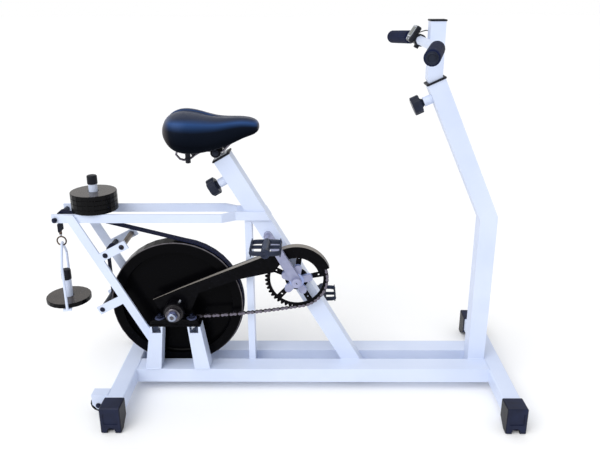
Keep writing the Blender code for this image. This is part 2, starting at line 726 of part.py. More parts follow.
def bar_points(extra):
    """The handlebar from end to end, with its bends eased over a few points."""
    half = [Vector((bar_x, BAR_STRAIGHT * 0.9, BAR_Z))]
    for t in (0.25, 0.5, 0.75):
        a = half[0].lerp(bar_turn, t)
        b = bar_turn.lerp(bar_turn + bar_way * BAR_STRAIGHT * 0.1, t)
        half.append(a.lerp(b, t))
    half.append(bar_turn + bar_way * BAR_STRAIGHT * 0.1)
    half.append(bar_end + bar_way * extra)
    other = [Vector((p.x, -p.y, p.z)) for p in reversed(half)]
    return other + half


handlebar = rod("handlebar", bar_points(0), BAR_RADIUS, 2)
cut(handlebar, rod("bar_bore", bar_points(0.01), BAR_RADIUS - WALL, 1))
finish(handlebar, WHITE, 0.35, pivot=stem_axis)
for side, hand in ((-1, "right"), (1, "left")):
    end = Vector((bar_end.x, side * bar_end.y, bar_end.z))
    way = Vector((bar_way.x, side * bar_way.y, bar_way.z))
    place = axis_frame(end + way * (GRIP_END - GRIP_LENGTH), way, (0, 0, 1))
    bore = BAR_RADIUS + GAP
    profile = [(0, GRIP_LENGTH), (0.0145, GRIP_LENGTH), (0.0175, GRIP_LENGTH - 0.0015),
               (GRIP_RADIUS, GRIP_LENGTH - 0.006), (GRIP_RADIUS, 0.004), (0.0175, 0.001), (0.0155, 0),
               (bore, 0), (bore, GRIP_LENGTH - GRIP_END + GAP), (0, GRIP_LENGTH - GRIP_END + GAP)]
    finish(turned(f"grip_{hand}", profile, place, 18), NAVY_BLACK, 0.9, pivot=stem_axis)

# Display: its housing lies against the bar, held by a ring round it
console_rear = Vector((-math.cos(CONSOLE_TILT), 0, math.sin(CONSOLE_TILT)))
console_up = Vector((math.sin(CONSOLE_TILT), 0, math.cos(CONSOLE_TILT)))
console_place = axis_frame((bar_x, CONSOLE_Y, BAR_Z), console_rear)
ring_outer = BAR_RADIUS + GAP + CLAMP_RING_WALL
back = BAR_RADIUS + GAP + 0.0008
along = console_place.inverted().to_3x3() @ console_up
low = Vector((-CONSOLE_HEIGHT / 2, -CONSOLE_WIDTH / 2, back)) + along * CONSOLE_ABOVE
high = Vector((CONSOLE_HEIGHT / 2, CONSOLE_WIDTH / 2, back + CONSOLE_DEPTH)) + along * CONSOLE_ABOVE
console = box("console", low, high, bevel=0.003, place=console_place)
half = CLAMP_RING_WIDTH / 2
bar_bore = BAR_RADIUS + GAP
ring_profile = [(ring_outer, half), (ring_outer, -half), (bar_bore, -half), (bar_bore, half)]
bar_place = axis_frame((bar_x, CONSOLE_Y, BAR_Z), (0, 1, 0), (0, 0, 1))
fuse(console, turned("ring", ring_profile, bar_place, 32, closed=True))
cut(console, cylinder("bar_space", (bar_x, CONSOLE_Y - 0.05, BAR_Z), (bar_x, CONSOLE_Y + 0.05, BAR_Z), bar_bore, 32))
finish(console, BLACK, 0.4, pivot=stem_axis)

cable_start = console_place @ ((low + high) / 2)
cable_start.y = CONSOLE_Y - CONSOLE_WIDTH / 2 - GAP
cable_end = Vector((stem_bend.x - 0.004, STEM_SIDE / 2 + GAP, BAR_Z + 0.022))
cable_route = [cable_start, cable_start + Vector((0, -0.003, 0)), cable_start + Vector((0, -0.007, 0)),
               cable_start + Vector((0.003, -0.013, 0.004)),
               cable_start.lerp(cable_end, 0.6) + Vector((0, 0, 0.008)), cable_end + Vector((0, 0.008, 0)),
               cable_end + Vector((0, 0.003, 0)), cable_end]
cable = rod("console_cable", smooth_route(cable_route, 0.004), CABLE_RADIUS, 2)
finish(cable, BLACK, 0.5, pivot=stem_axis)

# Strut behind the seat tube
strut_front_x = STRUT_REAR_X + STRUT_DEPTH
strut_top = UPPER_Z + BAR_HEIGHT / 2 - 0.001
weld = GAP / math.cos(SEAT_LEAN)


def tube_rear_z(x):
    """Height at which the seat tube's rear face passes x."""
    return CRANK_Z + (CRANK_X - POST_SIDE / 2 / math.cos(SEAT_LEAN) - weld - x) / math.tan(SEAT_LEAN)


corner_x = seat_side_x(strut_top, -1) - weld
strut_outline = [(STRUT_REAR_X, RAIL_BOTTOM), (strut_front_x, RAIL_BOTTOM),
                 (strut_front_x, min(strut_top, tube_rear_z(strut_front_x)))]
if STRUT_REAR_X + 0.0005 < corner_x < strut_front_x - 0.0005:
    strut_outline.append((corner_x, strut_top))
strut_outline.append((STRUT_REAR_X, min(strut_top, tube_rear_z(STRUT_REAR_X))))
strut = prism("seat_strut", strut_outline, -POST_SIDE / 2, POST_SIDE / 2)
cut(strut, box("bore", (STRUT_REAR_X + WALL, -inner, RAIL_BOTTOM - 0.01), (strut_front_x - WALL, inner, strut_top + POST_SIDE)))
finish(strut, WHITE, 0.35)

# Flat bars: the upper pair carries the weights, the slanted pair carries the rollers
upper_inner_y = UPPER_OUTER_Y - BAR_THICK
lap_y = POST_SIDE / 2 + GAP + BAR_THICK / 2
slant_inner_y = UPPER_OUTER_Y + GAP
slant_outer_y = slant_inner_y + BAR_THICK
upper_top = UPPER_Z + BAR_HEIGHT / 2
upper_bottom = UPPER_Z - BAR_HEIGHT / 2
slant_up = Vector((-math.sin(SLANT_LEAN), 0, math.cos(SLANT_LEAN)))
slant_out = Vector((math.cos(SLANT_LEAN), 0, math.sin(SLANT_LEAN)))
slant_origin = Vector((SLANT_REAR_X, 0, 0)) + slant_out * BAR_HEIGHT / 2


def cross_hole(name, x, z, radius):
    return cylinder(name, (x, -0.2, z), (x, 0.2, z), radius, 20)


def upper_bar(name, side):
    """A flat bar that runs straight forward, jogs inward and laps along the seat tube."""
    middle_y = side * (UPPER_OUTER_Y - BAR_THICK / 2)
    path = [(UPPER_REAR_X, middle_y), (JOG_START_X, middle_y), (JOG_END_X, side * lap_y), (0.05, side * lap_y)]
    bar = prism(name, strip(path, BAR_THICK / 2), upper_bottom, upper_top, axis='Z')
    low = Vector((seat_side_x(upper_bottom - 0.01, 1), 0, upper_bottom - 0.01))
    high = Vector((seat_side_x(upper_top + 0.01, 1), 0, upper_top + 0.01))
    trim = [flat(low), (0.2, low.z), (0.2, high.z), flat(high)]
    cut(bar, prism("trim", trim, -0.1, 0.1), cross_hole("hole", *TOP_ROLLER, BOLT_RADIUS + GAP))
    return finish(bar, WHITE, 0.35)


def slant_position(x, z):
    """Distance across and along the slanted bar of a point in side view."""
    offset = Vector((x, 0, z)) - slant_origin
    return offset.dot(slant_out), offset.dot(slant_up)


def slanted_bar(name, side):
    """A slanted flat bar from the upper bar to the bearing stand, with its welded roller plates."""
    half = BAR_HEIGHT / 2
    low_out, low_at = slant_position(*LOW_ROLLER)
    mid_out, mid_at = slant_position(*MID_ROLLER)

    def along_level(across, z):
        return (z - slant_origin.z - across * slant_out.z) / slant_up.z

    def along_stand(across):
        """Where a line along the bar meets the rear leg's rear face."""
        foot = Vector((WHEEL_X - STAND_FOOT_FAR - GAP, 0, rail_top))
        top = Vector((WHEEL_X - STAND_TOP_FAR - GAP, 0, STAND_TOP))
        face = (top - foot).normalized()
        normal = Vector((face.z, 0, -face.x))
        start = slant_origin + slant_out * across
        return (foot - start).dot(normal) / slant_up.dot(normal)

    corners = [(-half, along_level(-half, upper_top)), (-half, low_at + half), (low_out - LOW_PLATE_END, low_at + half),
               (low_out - LOW_PLATE_END, low_at - half), (-half, low_at - half), (-half, along_stand(-half)),
               (half, along_stand(half)), (half, mid_at - half),
               (mid_out + MID_ROLLER_STEP + MID_PLATE_END, mid_at - half),
               (mid_out + MID_ROLLER_STEP + MID_PLATE_END, mid_at + half), (half, mid_at + half),
               (half, along_level(half, upper_top))]
    outline = [flat(slant_origin + slant_out * a + slant_up * b) for a, b in corners]
    low, high = sorted((side * slant_inner_y, side * slant_outer_y))
    bar = prism(name, outline, low, high)
    second = (MID_ROLLER[0] + slant_out.x * MID_ROLLER_STEP, MID_ROLLER[1] + slant_out.z * MID_ROLLER_STEP)
    for x, z in (MID_ROLLER, second, LOW_ROLLER):
        cut(bar, cross_hole("hole", x, z, BOLT_RADIUS + GAP))
    return finish(bar, WHITE, 0.35), second


for side, hand in ((-1, "right"), (1, "left")):
    upper_bar(f"upper_rail_{hand}", side)
    bar, mid_front = slanted_bar(f"diagonal_rail_{hand}", side)


def roller(name, point, inner_y, outer_y):
    """A roller turned in one with its bolt, whose domed heads lie outside the bars."""
    drum = inner_y - GAP
    head = outer_y + GAP
    half = [(0, head + BOLT_HEAD_HEIGHT), (BOLT_HEAD_RADIUS * 0.7, head + BOLT_HEAD_HEIGHT * 0.75),
            (BOLT_HEAD_RADIUS, head + BOLT_HEAD_HEIGHT * 0.25), (BOLT_HEAD_RADIUS, head), (BOLT_RADIUS, head),
            (BOLT_RADIUS, drum), (ROLLER_RADIUS, drum)]
    profile = half + [(radius, -height) for radius, height in reversed(half)]
    centre = (point[0], 0, point[1])
    turned_roller = turned(name, profile, axis_frame(centre, (0, 1, 0), (0, 0, 1)), 10)
    return finish(turned_roller, DARK_STEEL, 0.4, 0.8, pivot=empty(f"{name}_axis", centre))


roller("top_roller", TOP_ROLLER, upper_inner_y, UPPER_OUTER_Y)
roller("mid_roller_rear", MID_ROLLER, slant_inner_y, slant_outer_y)
roller("mid_roller_front", mid_front, slant_inner_y, slant_outer_y)
roller("lower_roller", LOW_ROLLER, slant_inner_y, slant_outer_y)


# Bearings, axle and flywheel
def bearing_plate(name, side):
    low, high = sorted((side * STAND_INNER_Y, side * rail_outer_y))
    bottom = STAND_TOP + GAP
    plate = box(name, (WHEEL_X - PLATE_HALF, low, bottom), (WHEEL_X + PLATE_HALF, high, bottom + PLATE_THICK), 0.001)
    return finish(plate, BLACK, 0.5)


def pillow_block(name, side):
    """A cast foot that rises to a round housing, bored for the axle."""
    foot = STAND_TOP + PLATE_THICK + 2 * GAP
    top = foot + BLOCK_FOOT
    rise = math.asin((AXLE_Z - top - 0.004) / BLOCK_RADIUS)
    round_part = arc((WHEEL_X, AXLE_Z), BLOCK_RADIUS, -rise, math.pi + rise, 14)
    outline = [(WHEEL_X - BLOCK_HALF, foot), (WHEEL_X + BLOCK_HALF, foot), (WHEEL_X + BLOCK_HALF, top - 0.002),
               (WHEEL_X + BLOCK_HALF - 0.004, top), *round_part, (WHEEL_X - BLOCK_HALF + 0.004, top),
               (WHEEL_X - BLOCK_HALF, top - 0.002)]
    low, high = sorted((side * BLOCK_INNER_Y, side * (BLOCK_INNER_Y + BLOCK_DEPTH)))
    block = prism(name, outline, low, high)
    round_edges(block, 0.0015, 1)
    cut(block, cross_hole("bore", WHEEL_X, AXLE_Z, AXLE_RADIUS + GAP))
    return finish(block, BLACK, 0.45)


for side, hand in ((-1, "right"), (1, "left")):
    bearing_plate(f"bearing_plate_{hand}", side)
    pillow_block(f"pillow_block_{hand}", side)

spin_axis = empty("flywheel_axis", axle_centre)
wheel_place = axis_frame(axle_centre, (0, 1, 0), (0, 0, 1))
bore = AXLE_RADIUS + GAP
rim_inner = FLYWHEEL_RADIUS - FLYWHEEL_RIM
web = FLYWHEEL_WEB / 2
wheel_half = [(bore, FLYWHEEL_HALF - 0.002), (FLYWHEEL_HUB - 0.002, FLYWHEEL_HALF - 0.002), (FLYWHEEL_HUB, web + 0.003),
              (FLYWHEEL_HUB + 0.004, web), (rim_inner - 0.004, web), (rim_inner, web + 0.003), (rim_inner,
              FLYWHEEL_HALF), (FLYWHEEL_RADIUS - 0.002, FLYWHEEL_HALF), (FLYWHEEL_RADIUS, FLYWHEEL_HALF - 0.002)]
wheel_profile = wheel_half + [(radius, -height) for radius, height in reversed(wheel_half)]
finish(turned("flywheel", wheel_profile, wheel_place, 40, closed=True), BLACK, 0.15, pivot=spin_axis)
axle_profile = [(0, AXLE_LEFT_Y), (AXLE_RADIUS - 0.001, AXLE_LEFT_Y), (AXLE_RADIUS, AXLE_LEFT_Y - 0.001),
                (AXLE_RADIUS, AXLE_RIGHT_Y + 0.001), (AXLE_RADIUS - 0.001, AXLE_RIGHT_Y), (0.004, AXLE_RIGHT_Y),
                (0.004, AXLE_RIGHT_Y + 0.008), (0, AXLE_RIGHT_Y + 0.008)]
finish(turned("flywheel_axle", axle_profile, wheel_place, 20), ZINC, 0.3, 1.0, pivot=spin_axis)


# Chain drive
def pitch_radius(teeth):
    return CHAIN_PITCH / 2 / math.sin(math.pi / teeth)


def tooth_outline(centre, teeth, phase):
    """Teeth with flat tips and a root between each pair."""
    radius = pitch_radius(teeth)
    step = math.tau / teeth
    points = []
    for i in range(teeth):
        middle = phase + i * step
        for part, reach in ((-0.14, 0.0040), (0.14, 0.0040), (0.5, -0.0040)):
            angle = middle + part * step
            points.append((centre[0] + (radius + reach) * math.cos(angle),
                           centre[1] + (radius + reach) * math.sin(angle)))
    return points


def circle(centre, radius, count):
    return arc(centre, radius, 0, math.tau * (count - 1) / count, count - 1)


ring_centre = flat(crank_centre)
wheel_centre = flat(axle_centre)
ring_holes = [circle(ring_centre, SPINDLE_RADIUS + GAP, 20)]
for i in range(5):
    arm = CRANK_ANGLE + math.radians(36) + i * math.tau / 5
    after = arm + math.tau / 5
    outer_half = math.asin(0.0085 / RING_WINDOW)
    inner_half = math.asin(0.007 / 0.034)
    window = arc(ring_centre, RING_WINDOW, arm + outer_half, after - outer_half, 8)
    window += arc(ring_centre, 0.034, after - inner_half, arm + inner_half, 4)
    ring_holes.append(window)
    at = (ring_centre[0] + RING_HOLE_AT * math.cos(arm), ring_centre[1] + RING_HOLE_AT * math.sin(arm))
    ring_holes.append(circle(at, 0.0028, 8))
crank_axis = empty("crank_axis", crank_centre)
ring = prism("chainring", tooth_outline(ring_centre, RING_TEETH, 0.05), CHAIN_Y - TOOTH_HALF, CHAIN_Y + TOOTH_HALF,
             holes=ring_holes)
finish(ring, BLACK, 0.4, pivot=crank_axis)
sprocket = prism("drive_sprocket", tooth_outline(wheel_centre, SPROCKET_TEETH, 0.0), CHAIN_Y - TOOTH_HALF,
                 CHAIN_Y + TOOTH_HALF, holes=[circle(wheel_centre, bore, 32)])
hub_profile = [(0.020, 0.004), (0.020, -0.004), (bore, -0.004), (bore, 0.004)]
hub_place = axis_frame((WHEEL_X, CHAIN_Y + 0.004, AXLE_Z), (0, 1, 0), (0, 0, 1))
fuse(sprocket, turned("hub", hub_profile, hub_place, 20, closed=True))
finish(sprocket, DARK_STEEL, 0.4, 0.8, pivot=spin_axis)


def belt_sides(centre_a, radius_a, centre_b, radius_b):
    """Angle of the radius that meets the upper outer tangent of two circles, seen from the side."""
    across = Vector(centre_b) - Vector(centre_a)
    base = math.atan2(across.y, across.x)
    return base, math.acos((radius_a - radius_b) / across.length)


base, spread = belt_sides(wheel_centre, pitch_radius(SPROCKET_TEETH), ring_centre, pitch_radius(RING_TEETH))
upper_angle = base + spread
lower_angle = base - spread


def on_circle(centre, radius, angle):
    return Vector((centre[0] + radius * math.cos(angle), centre[1] + radius * math.sin(angle)))


def chain_loop(side):
    """The chain's pitch line moved out by side, going round the ring, back along the sagging lower run."""
    small = pitch_radius(SPROCKET_TEETH) + side
    big = pitch_radius(RING_TEETH) + side
    loop = arc(ring_centre, big, upper_angle, lower_angle, 20)
    start = on_circle(ring_centre, big, lower_angle)
    end = on_circle(wheel_centre, small, lower_angle)
    for i in range(1, 6):
        t = i / 6
        point = start.lerp(end, t)
        loop.append((point.x, point.y - CHAIN_SAG * 4 * t * (1 - t)))
    loop += arc(wheel_centre, small, lower_angle, upper_angle - math.tau, 10)
    return loop


chain = prism("drive_chain", chain_loop(LINK_HALF), CHAIN_Y + PLATE_INNER, CHAIN_Y + PLATE_OUTER,
              holes=[chain_loop(-LINK_HALF)])
near_band = prism("near_band", chain_loop(LINK_HALF), CHAIN_Y - PLATE_OUTER, CHAIN_Y - PLATE_INNER,
                  holes=[chain_loop(-LINK_HALF)])
span = (Vector(ring_centre) - Vector(wheel_centre)).length
run = math.sqrt(span ** 2 - (pitch_radius(RING_TEETH) - pitch_radius(SPROCKET_TEETH)) ** 2)
ring_clear = 0.042
sprocket_clear = 0.030
fuse(chain, near_band)
pin_count = int((run - ring_clear - sprocket_clear) / (3 * CHAIN_PITCH))
pins = None
for angle, sag in ((upper_angle, 0), (lower_angle, CHAIN_SAG)):
    start = on_circle(wheel_centre, pitch_radius(SPROCKET_TEETH), angle)
    end = on_circle(ring_centre, pitch_radius(RING_TEETH), angle)
    for i in range(pin_count + 1):
        t = (sprocket_clear + i * 3 * CHAIN_PITCH) / run
        point = start.lerp(end, t)
        z = point.y - sag * 4 * t * (1 - t)
        pin = cylinder("pin", (point.x, CHAIN_Y - PLATE_OUTER + 0.0005, z), (point.x, CHAIN_Y + PLATE_OUTER - 0.0005, z),
                       CHAIN_PIN_RADIUS, 6)
        if pins is None:
            pins = bmesh.new()
        pin.data.transform(pin.matrix_world)
        pins.from_mesh(pin.data)
        bpy.data.objects.remove(pin, do_unlink=True)
pin_mesh = bpy.data.meshes.new("pins")
pins.to_mesh(pin_mesh)
pins.free()
pin_group = bpy.data.objects.new("pins", pin_mesh)
parts.objects.link(pin_group)
fuse(chain, pin_group)
finish(chain, DARK_STEEL, 0.4, 0.8)

# Chain guard: a flat sheet over the upper run, with a lip turned back along its top edge
guard_front_y = BLOCK_INNER_Y - GAP


def guard_top(offset):
    """The guard's top line from its rear tip, then round over the ring to its front tip."""
    radius = GUARD_RADIUS - offset
    rear_tip = Vector((WHEEL_X - 0.066, AXLE_Z + 0.0267))
    rear_knee = Vector((WHEEL_X + 0.0182, AXLE_Z + 0.0635))
    big = Vector(ring_centre)
    span = big - rear_knee
    touch = math.atan2(span.y, span.x) + math.pi - math.acos(GUARD_RADIUS / span.length)
    line = offset_path([tuple(rear_tip), tuple(rear_knee), tuple(on_circle(ring_centre, GUARD_RADIUS, touch))], -offset)
    return line[:2] + arc(ring_centre, radius, touch, GUARD_TIP_ANGLE, 18)


inner_start = math.radians(160)
lower_edge = [(CRANK_X - 0.0854, CRANK_Z + 0.0185), (CRANK_X - 0.1677, CRANK_Z + 0.0002),
              (WHEEL_X + 0.0698, AXLE_Z + 0.0484), (WHEEL_X + 0.040, AXLE_Z - 0.020), (WHEEL_X - 0.042, AXLE_Z - 0.020)]
inner_arc = arc(ring_centre, GUARD_INNER_RADIUS, GUARD_TIP_ANGLE, inner_start, 14)
guard_outline = guard_top(0) + inner_arc + lower_edge
guard = prism("chain_guard", guard_outline, -guard_front_y, -GUARD_INNER_Y)
tip = on_circle(ring_centre, GUARD_RADIUS - GUARD_THICK, GUARD_TIP_ANGLE - 0.25)
inside = guard_top(GUARD_THICK) + [tuple(tip), (CRANK_X + 0.05, CRANK_Z - 0.05), (WHEEL_X, AXLE_Z - 0.05),
                                   (WHEEL_X - 0.10, AXLE_Z - 0.05), (WHEEL_X - 0.12, AXLE_Z + 0.004)]
cut(guard, prism("inside", inside, -guard_front_y + GUARD_THICK, 0.0))
cut(guard, cylinder("axle_space", (WHEEL_X, -0.2, AXLE_Z), (WHEEL_X, 0, AXLE_Z), AXLE_RADIUS + 0.003))
finish(guard, BLACK, 0.2)


# Cranks and pedals
def crank(name, side, angle, spindle_low, spindle_high):
    """A crank arm from the spindle to the pedal, with the pedal's spindle fixed in it."""
    low, high = sorted((side * CRANK_INNER_Y, side * (CRANK_INNER_Y + CRANK_THICK)))
    pedal_x = CRANK_X + CRANK_LENGTH * math.cos(angle)
    pedal_z = CRANK_Z + CRANK_LENGTH * math.sin(angle)
    big_end = arc(ring_centre, CRANK_WIDTH * 0.56, angle + math.pi / 2, angle + 1.5 * math.pi, 9)
    small_end = arc((pedal_x, pedal_z), CRANK_WIDTH * 0.46, angle - math.pi / 2, angle + math.pi / 2, 7)
    arm = prism(name, big_end + small_end, low, high)
    round_edges(arm, 0.002, 1)
    spindle = cylinder("spindle", (CRANK_X, spindle_low, CRANK_Z), (CRANK_X, spindle_high, CRANK_Z), SPINDLE_RADIUS, 16)
    start = side * (CRANK_INNER_Y + CRANK_THICK / 2)
    pin = cylinder("pin", (pedal_x, start, pedal_z), (pedal_x, side * (PEDAL_OUTER_Y - 0.006), pedal_z),
                   PEDAL_SPINDLE, 12)
    return arm, spindle, pin, (pedal_x, pedal_z)


arm, spindle, pin, right_pedal = crank("right_crank", -1, CRANK_ANGLE, -0.072, CRANK_INNER_Y + 0.010)
spider = []
for i in range(5):
    at = CRANK_ANGLE + math.radians(36) + i * math.tau / 5
    tip = on_circle(ring_centre, SPIDER_RADIUS - SPIDER_WIDTH / 2, at)
    spider += arc(tuple(tip), SPIDER_WIDTH / 2, at - math.pi / 2, at + math.pi / 2, 8)
    spider.append(tuple(on_circle(ring_centre, SPIDER_WIDTH / 2 * 1.45, at + math.pi / 5)))
ring_face = CHAIN_Y - TOOTH_HALF - GAP
spider_solid = prism("spider", spider, -CRANK_INNER_Y - 0.003, ring_face)
hub_cap = cylinder("hub_cap", (CRANK_X, -CRANK_INNER_Y - CRANK_THICK + 0.002, CRANK_Z), (CRANK_X, -HUB_CAP_Y, CRANK_Z), HUB_CAP_RADIUS)
fuse(arm, spider_solid, spindle, pin, hub_cap)
finish(arm, ALUMINIUM, 0.4, 0.9, pivot=crank_axis)

left_angle = CRANK_ANGLE + math.pi
arm, spindle, pin, left_pedal = crank("left_crank", 1, left_angle, 0.04, 0.05)
bpy.data.objects.remove(spindle, do_unlink=True)
crank_bore = cylinder("crank_bore", (CRANK_X, 0.03, CRANK_Z), (CRANK_X, CRANK_INNER_Y + 0.0105, CRANK_Z),
                      SPINDLE_RADIUS + GAP, 16)
hub_cap = cylinder("hub_cap", (CRANK_X, CRANK_INNER_Y + CRANK_THICK - 0.002, CRANK_Z), (CRANK_X, HUB_CAP_Y, CRANK_Z), HUB_CAP_RADIUS)
hub_back = cylinder("hub_back", (CRANK_X, SHELL_HALF + 0.002, CRANK_Z), (CRANK_X, CRANK_INNER_Y + 0.002, CRANK_Z), HUB_BACK_RADIUS)
fuse(arm, pin, hub_cap, hub_back)
cut(arm, crank_bore)
finish(arm, ALUMINIUM, 0.4, 0.9, pivot=crank_axis)


def pedal(name, side, centre):
    """A cage pedal: a middle barrel, two bars and two end plates, with windows through it."""
    x, z = centre
    half = PEDAL_LENGTH / 2
    thin = PEDAL_THICK * 0.34
    thick = PEDAL_THICK / 2
    outline = [(x - half, z - thin), (x - half * 0.55, z - thick), (x + half * 0.55, z - thick), (x + half, z - thin),
               (x + half, z + thin), (x + half * 0.55, z + thick), (x - half * 0.55, z + thick), (x - half, z + thin)]
    low, high = sorted((side * PEDAL_INNER_Y, side * PEDAL_OUTER_Y))
    body = prism(name, outline, low, high)
    round_edges(body, 0.001, 1)
    for way in (-1, 1):
        near, far = sorted((x + way * PEDAL_WINDOW, x + way * (half - PEDAL_RIM)))
        cut(body, box("window", (near, low + PEDAL_SIDE, z - 0.1), (far, high - PEDAL_SIDE, z + 0.1)))
        cut(body, box("slot", (near + 0.002, low - 0.01, z - thick * 0.42), (far - 0.001, high + 0.01, z + thick * 0.42)))
    bore_low, bore_high = sorted((side * (PEDAL_INNER_Y - 0.01), side * (PEDAL_OUTER_Y - 0.0055)))
    cut(body, cylinder("bore", (x, bore_low, z), (x, bore_high, z), PEDAL_SPINDLE + GAP, 12))
    return finish(body, NAVY_BLACK, 0.5, pivot=empty(f"{name}_axis", (x, side * PEDAL_INNER_Y, z), crank_axis))


pedal("pedal_right", -1, right_pedal)
pedal("pedal_left", 1, left_pedal)

# Seat post, clamp, rails and cover
seat_axis = empty("seat_height", seat_top)
saddle_pivot = Vector((SADDLE_PIVOT_X, 0, SADDLE_PIVOT_Z))
saddle_axis = empty("saddle_tilt", saddle_pivot, seat_axis)
post_end = seat_top + seat_up * (COLLAR_HEIGHT + SEAT_POST_RISE)
half = STEM_SIDE / 2
front_corner = post_end - seat_rear * half
rear_corner = post_end + seat_rear * half
foot = seat_top - seat_up * SEAT_INSIDE
post_outline = [flat(foot + seat_rear * half), flat(foot - seat_rear * half), flat(front_corner), flat(rear_corner)]
seat_post = prism("seat_post", post_outline, -half, half)
post_hollow = strip([flat(foot - seat_up * 0.01), flat(post_end - seat_up * 0.004)], stem_inner)
cut(seat_post, prism("hollow", post_hollow, -stem_inner, stem_inner))
stub_foot = post_end + seat_rear * seat_rear.dot(saddle_pivot - post_end)
stub = cylinder("stub", stub_foot - seat_up * 0.003, stub_foot + seat_up * SADDLE_CLAMP_RADIUS, STUB_RADIUS, 24)
cradle = cylinder("cradle", saddle_pivot - Vector((0, 0.05, 0)), saddle_pivot + Vector((0, 0.05, 0)),
                  SADDLE_CLAMP_RADIUS + GAP, 32)
fuse(seat_post, stub)
cut(seat_post, cradle)
finish(seat_post, ZINC, 0.4, 0.8, pivot=seat_axis)

clamp = cylinder("saddle_clamp", saddle_pivot - Vector((0, SADDLE_CLAMP_HALF, 0)),
                 saddle_pivot + Vector((0, SADDLE_CLAMP_HALF, 0)), SADDLE_CLAMP_RADIUS, 20)
round_edges(clamp, 0.002, 1)
rail_z = SADDLE_PIVOT_Z + 0.005
for side in (-1, 1):
    y = side * SADDLE_RAIL_Y
    cut(clamp, cylinder("rail_hole", (SADDLE_PIVOT_X - 0.03, y, rail_z), (SADDLE_PIVOT_X + 0.03, y, rail_z),
                        SADDLE_RAIL_RADIUS + GAP, 10))
finish(clamp, BLACK, 0.5, pivot=saddle_axis)

# Saddle cover sections from the rear to the nose: x, half width, top, crown above the edge, bottom
SADDLE_SECTIONS = (
    (-0.3010, 0.052, 0.795, 0.010, 0.762),
    (-0.2940, 0.082, 0.815, 0.016, 0.748),
    (-0.2700, 0.101, 0.832, 0.022, 0.737),
    (-0.2350, 0.103, 0.836, 0.026, 0.734),
    (-0.1950, 0.092, 0.829, 0.026, 0.736),
    (-0.1550, 0.066, 0.820, 0.022, 0.742),
    (-0.1150, 0.046, 0.819, 0.018, 0.751),
    (-0.0800, 0.038, 0.820, 0.016, 0.762),
    (-0.0480, 0.033, 0.814, 0.014, 0.774),
    (-0.0360, 0.022, 0.800, 0.008, 0.782),
)


def saddle_section(x, half_width, top, crown, bottom):
    """One closed ring of a section, from the middle of the underside up round and back."""
    side_z = top - crown
    low_z = bottom + (side_z - bottom) * 0.35
    right = [(0.0, bottom + 0.004), (half_width * 0.55, bottom + 0.002), (half_width * 0.90, bottom),
             (half_width, low_z), (half_width * 0.95, side_z), (half_width * 0.62, top - crown * 0.28),
             (half_width * 0.28, top), (0.0, top - crown * 0.15)]
    ring = right + [(-y, z) for y, z in reversed(right[1:-1])]
    return [Vector((x, y, z)) for y, z in ring]


def saddle_cover():
    """A lofted cage through the sections, closed at both ends and subdivided."""
    bm = bmesh.new()
    rings = [[bm.verts.new(point) for point in saddle_section(*section)] for section in SADDLE_SECTIONS]
    for ring_a, ring_b in zip(rings, rings[1:]):
        for i in range(len(ring_a)):
            j = (i + 1) % len(ring_a)
            bm.faces.new((ring_a[i], ring_a[j], ring_b[j], ring_b[i]))
    bm.faces.new(rings[0])
    bm.faces.new(rings[-1])
    bmesh.ops.recalc_face_normals(bm, faces=bm.faces)
    mesh = bpy.data.meshes.new("saddle_cover")
    bm.to_mesh(mesh)
    bm.free()
    cover = bpy.data.objects.new("saddle_cover", mesh)
    parts.objects.link(cover)
    smooth = cover.modifiers.new("smooth", 'SUBSURF')
    smooth.levels = 1
    smooth.render_levels = 1
    return as_mesh(cover)


def saddle_wire(name, radius):
    """The saddle's rails as one wire: joined under the nose, through the clamp, looped up at the rear."""
    side = [*map(Vector, SADDLE_WIRE_FRONT), *[Vector((SADDLE_PIVOT_X + along, SADDLE_RAIL_Y, rail_z))
                                               for along in SADDLE_WIRE_GRIP], *map(Vector, SADDLE_WIRE_REAR)]
    other = [Vector((p.x, -p.y, p.z)) for p in reversed(side[1:])]
    return rod(name, smooth_route(other + side, 0.011), radius, 1)


def bumpers(radius, top):
    for side in (-1, 1):
        yield cylinder("bumper", (BUMPER_X, side * BUMPER_Y, BUMPER_BOTTOM), (BUMPER_X, side * BUMPER_Y, top), radius, 10)


cover = saddle_cover()
rails = saddle_wire("saddle_rails", SADDLE_RAIL_RADIUS)
fuse(rails, *bumpers(BUMPER_RADIUS, BUMPER_TOP))
finish(rails, ZINC, 0.3, 1.0, pivot=saddle_axis)
cut(cover, saddle_wire("wire_space", SADDLE_RAIL_RADIUS + GAP), *bumpers(BUMPER_RADIUS + GAP, BUMPER_TOP + GAP))
finish(cover, BLACK, 0.5, pivot=saddle_axis)


# Weights: the storage peg stands on a cross plate between the upper bars
def peg_with_cap(name, base, centre, cap_z, cap_height, pivot=None):
    """Fuses a peg to its base and makes the cap that fits over the peg's top."""
    socket = cap_z + CAP_SOCKET
    peg = cylinder("peg", (centre[0], 0, centre[1]), (centre[0], 0, socket), PEG_RADIUS, 18)
    top = cap_z + cap_height
    profile = [(0, top), (PEG_CAP_RADIUS - 0.004, top), (PEG_CAP_RADIUS - 0.001, top - 0.001),
               (PEG_CAP_RADIUS, top - 0.004), (PEG_CAP_RADIUS, cap_z), (PEG_RADIUS + GAP, cap_z),
               (PEG_RADIUS + GAP, socket + GAP), (0, socket + GAP)]
    place = Matrix.Translation((centre[0], 0, 0))
    cap = turned(name, profile, place, 18)
    fuse(base, peg)
    return finish(cap, NAVY_BLACK, 0.5, pivot=pivot)


half = PEG_BASE_LENGTH / 2
inner_bar = upper_inner_y - GAP
weight_peg = box("weight_peg", (STACK_X - half, -inner_bar, upper_top - PEG_BASE_THICK), (STACK_X + half, inner_bar,
                 upper_top))
peg_with_cap("weight_peg_cap", weight_peg, (STACK_X, upper_top - PEG_BASE_THICK / 2), STACK_CAP_Z, STACK_CAP_HEIGHT)
finish(weight_peg, WHITE, 0.35)


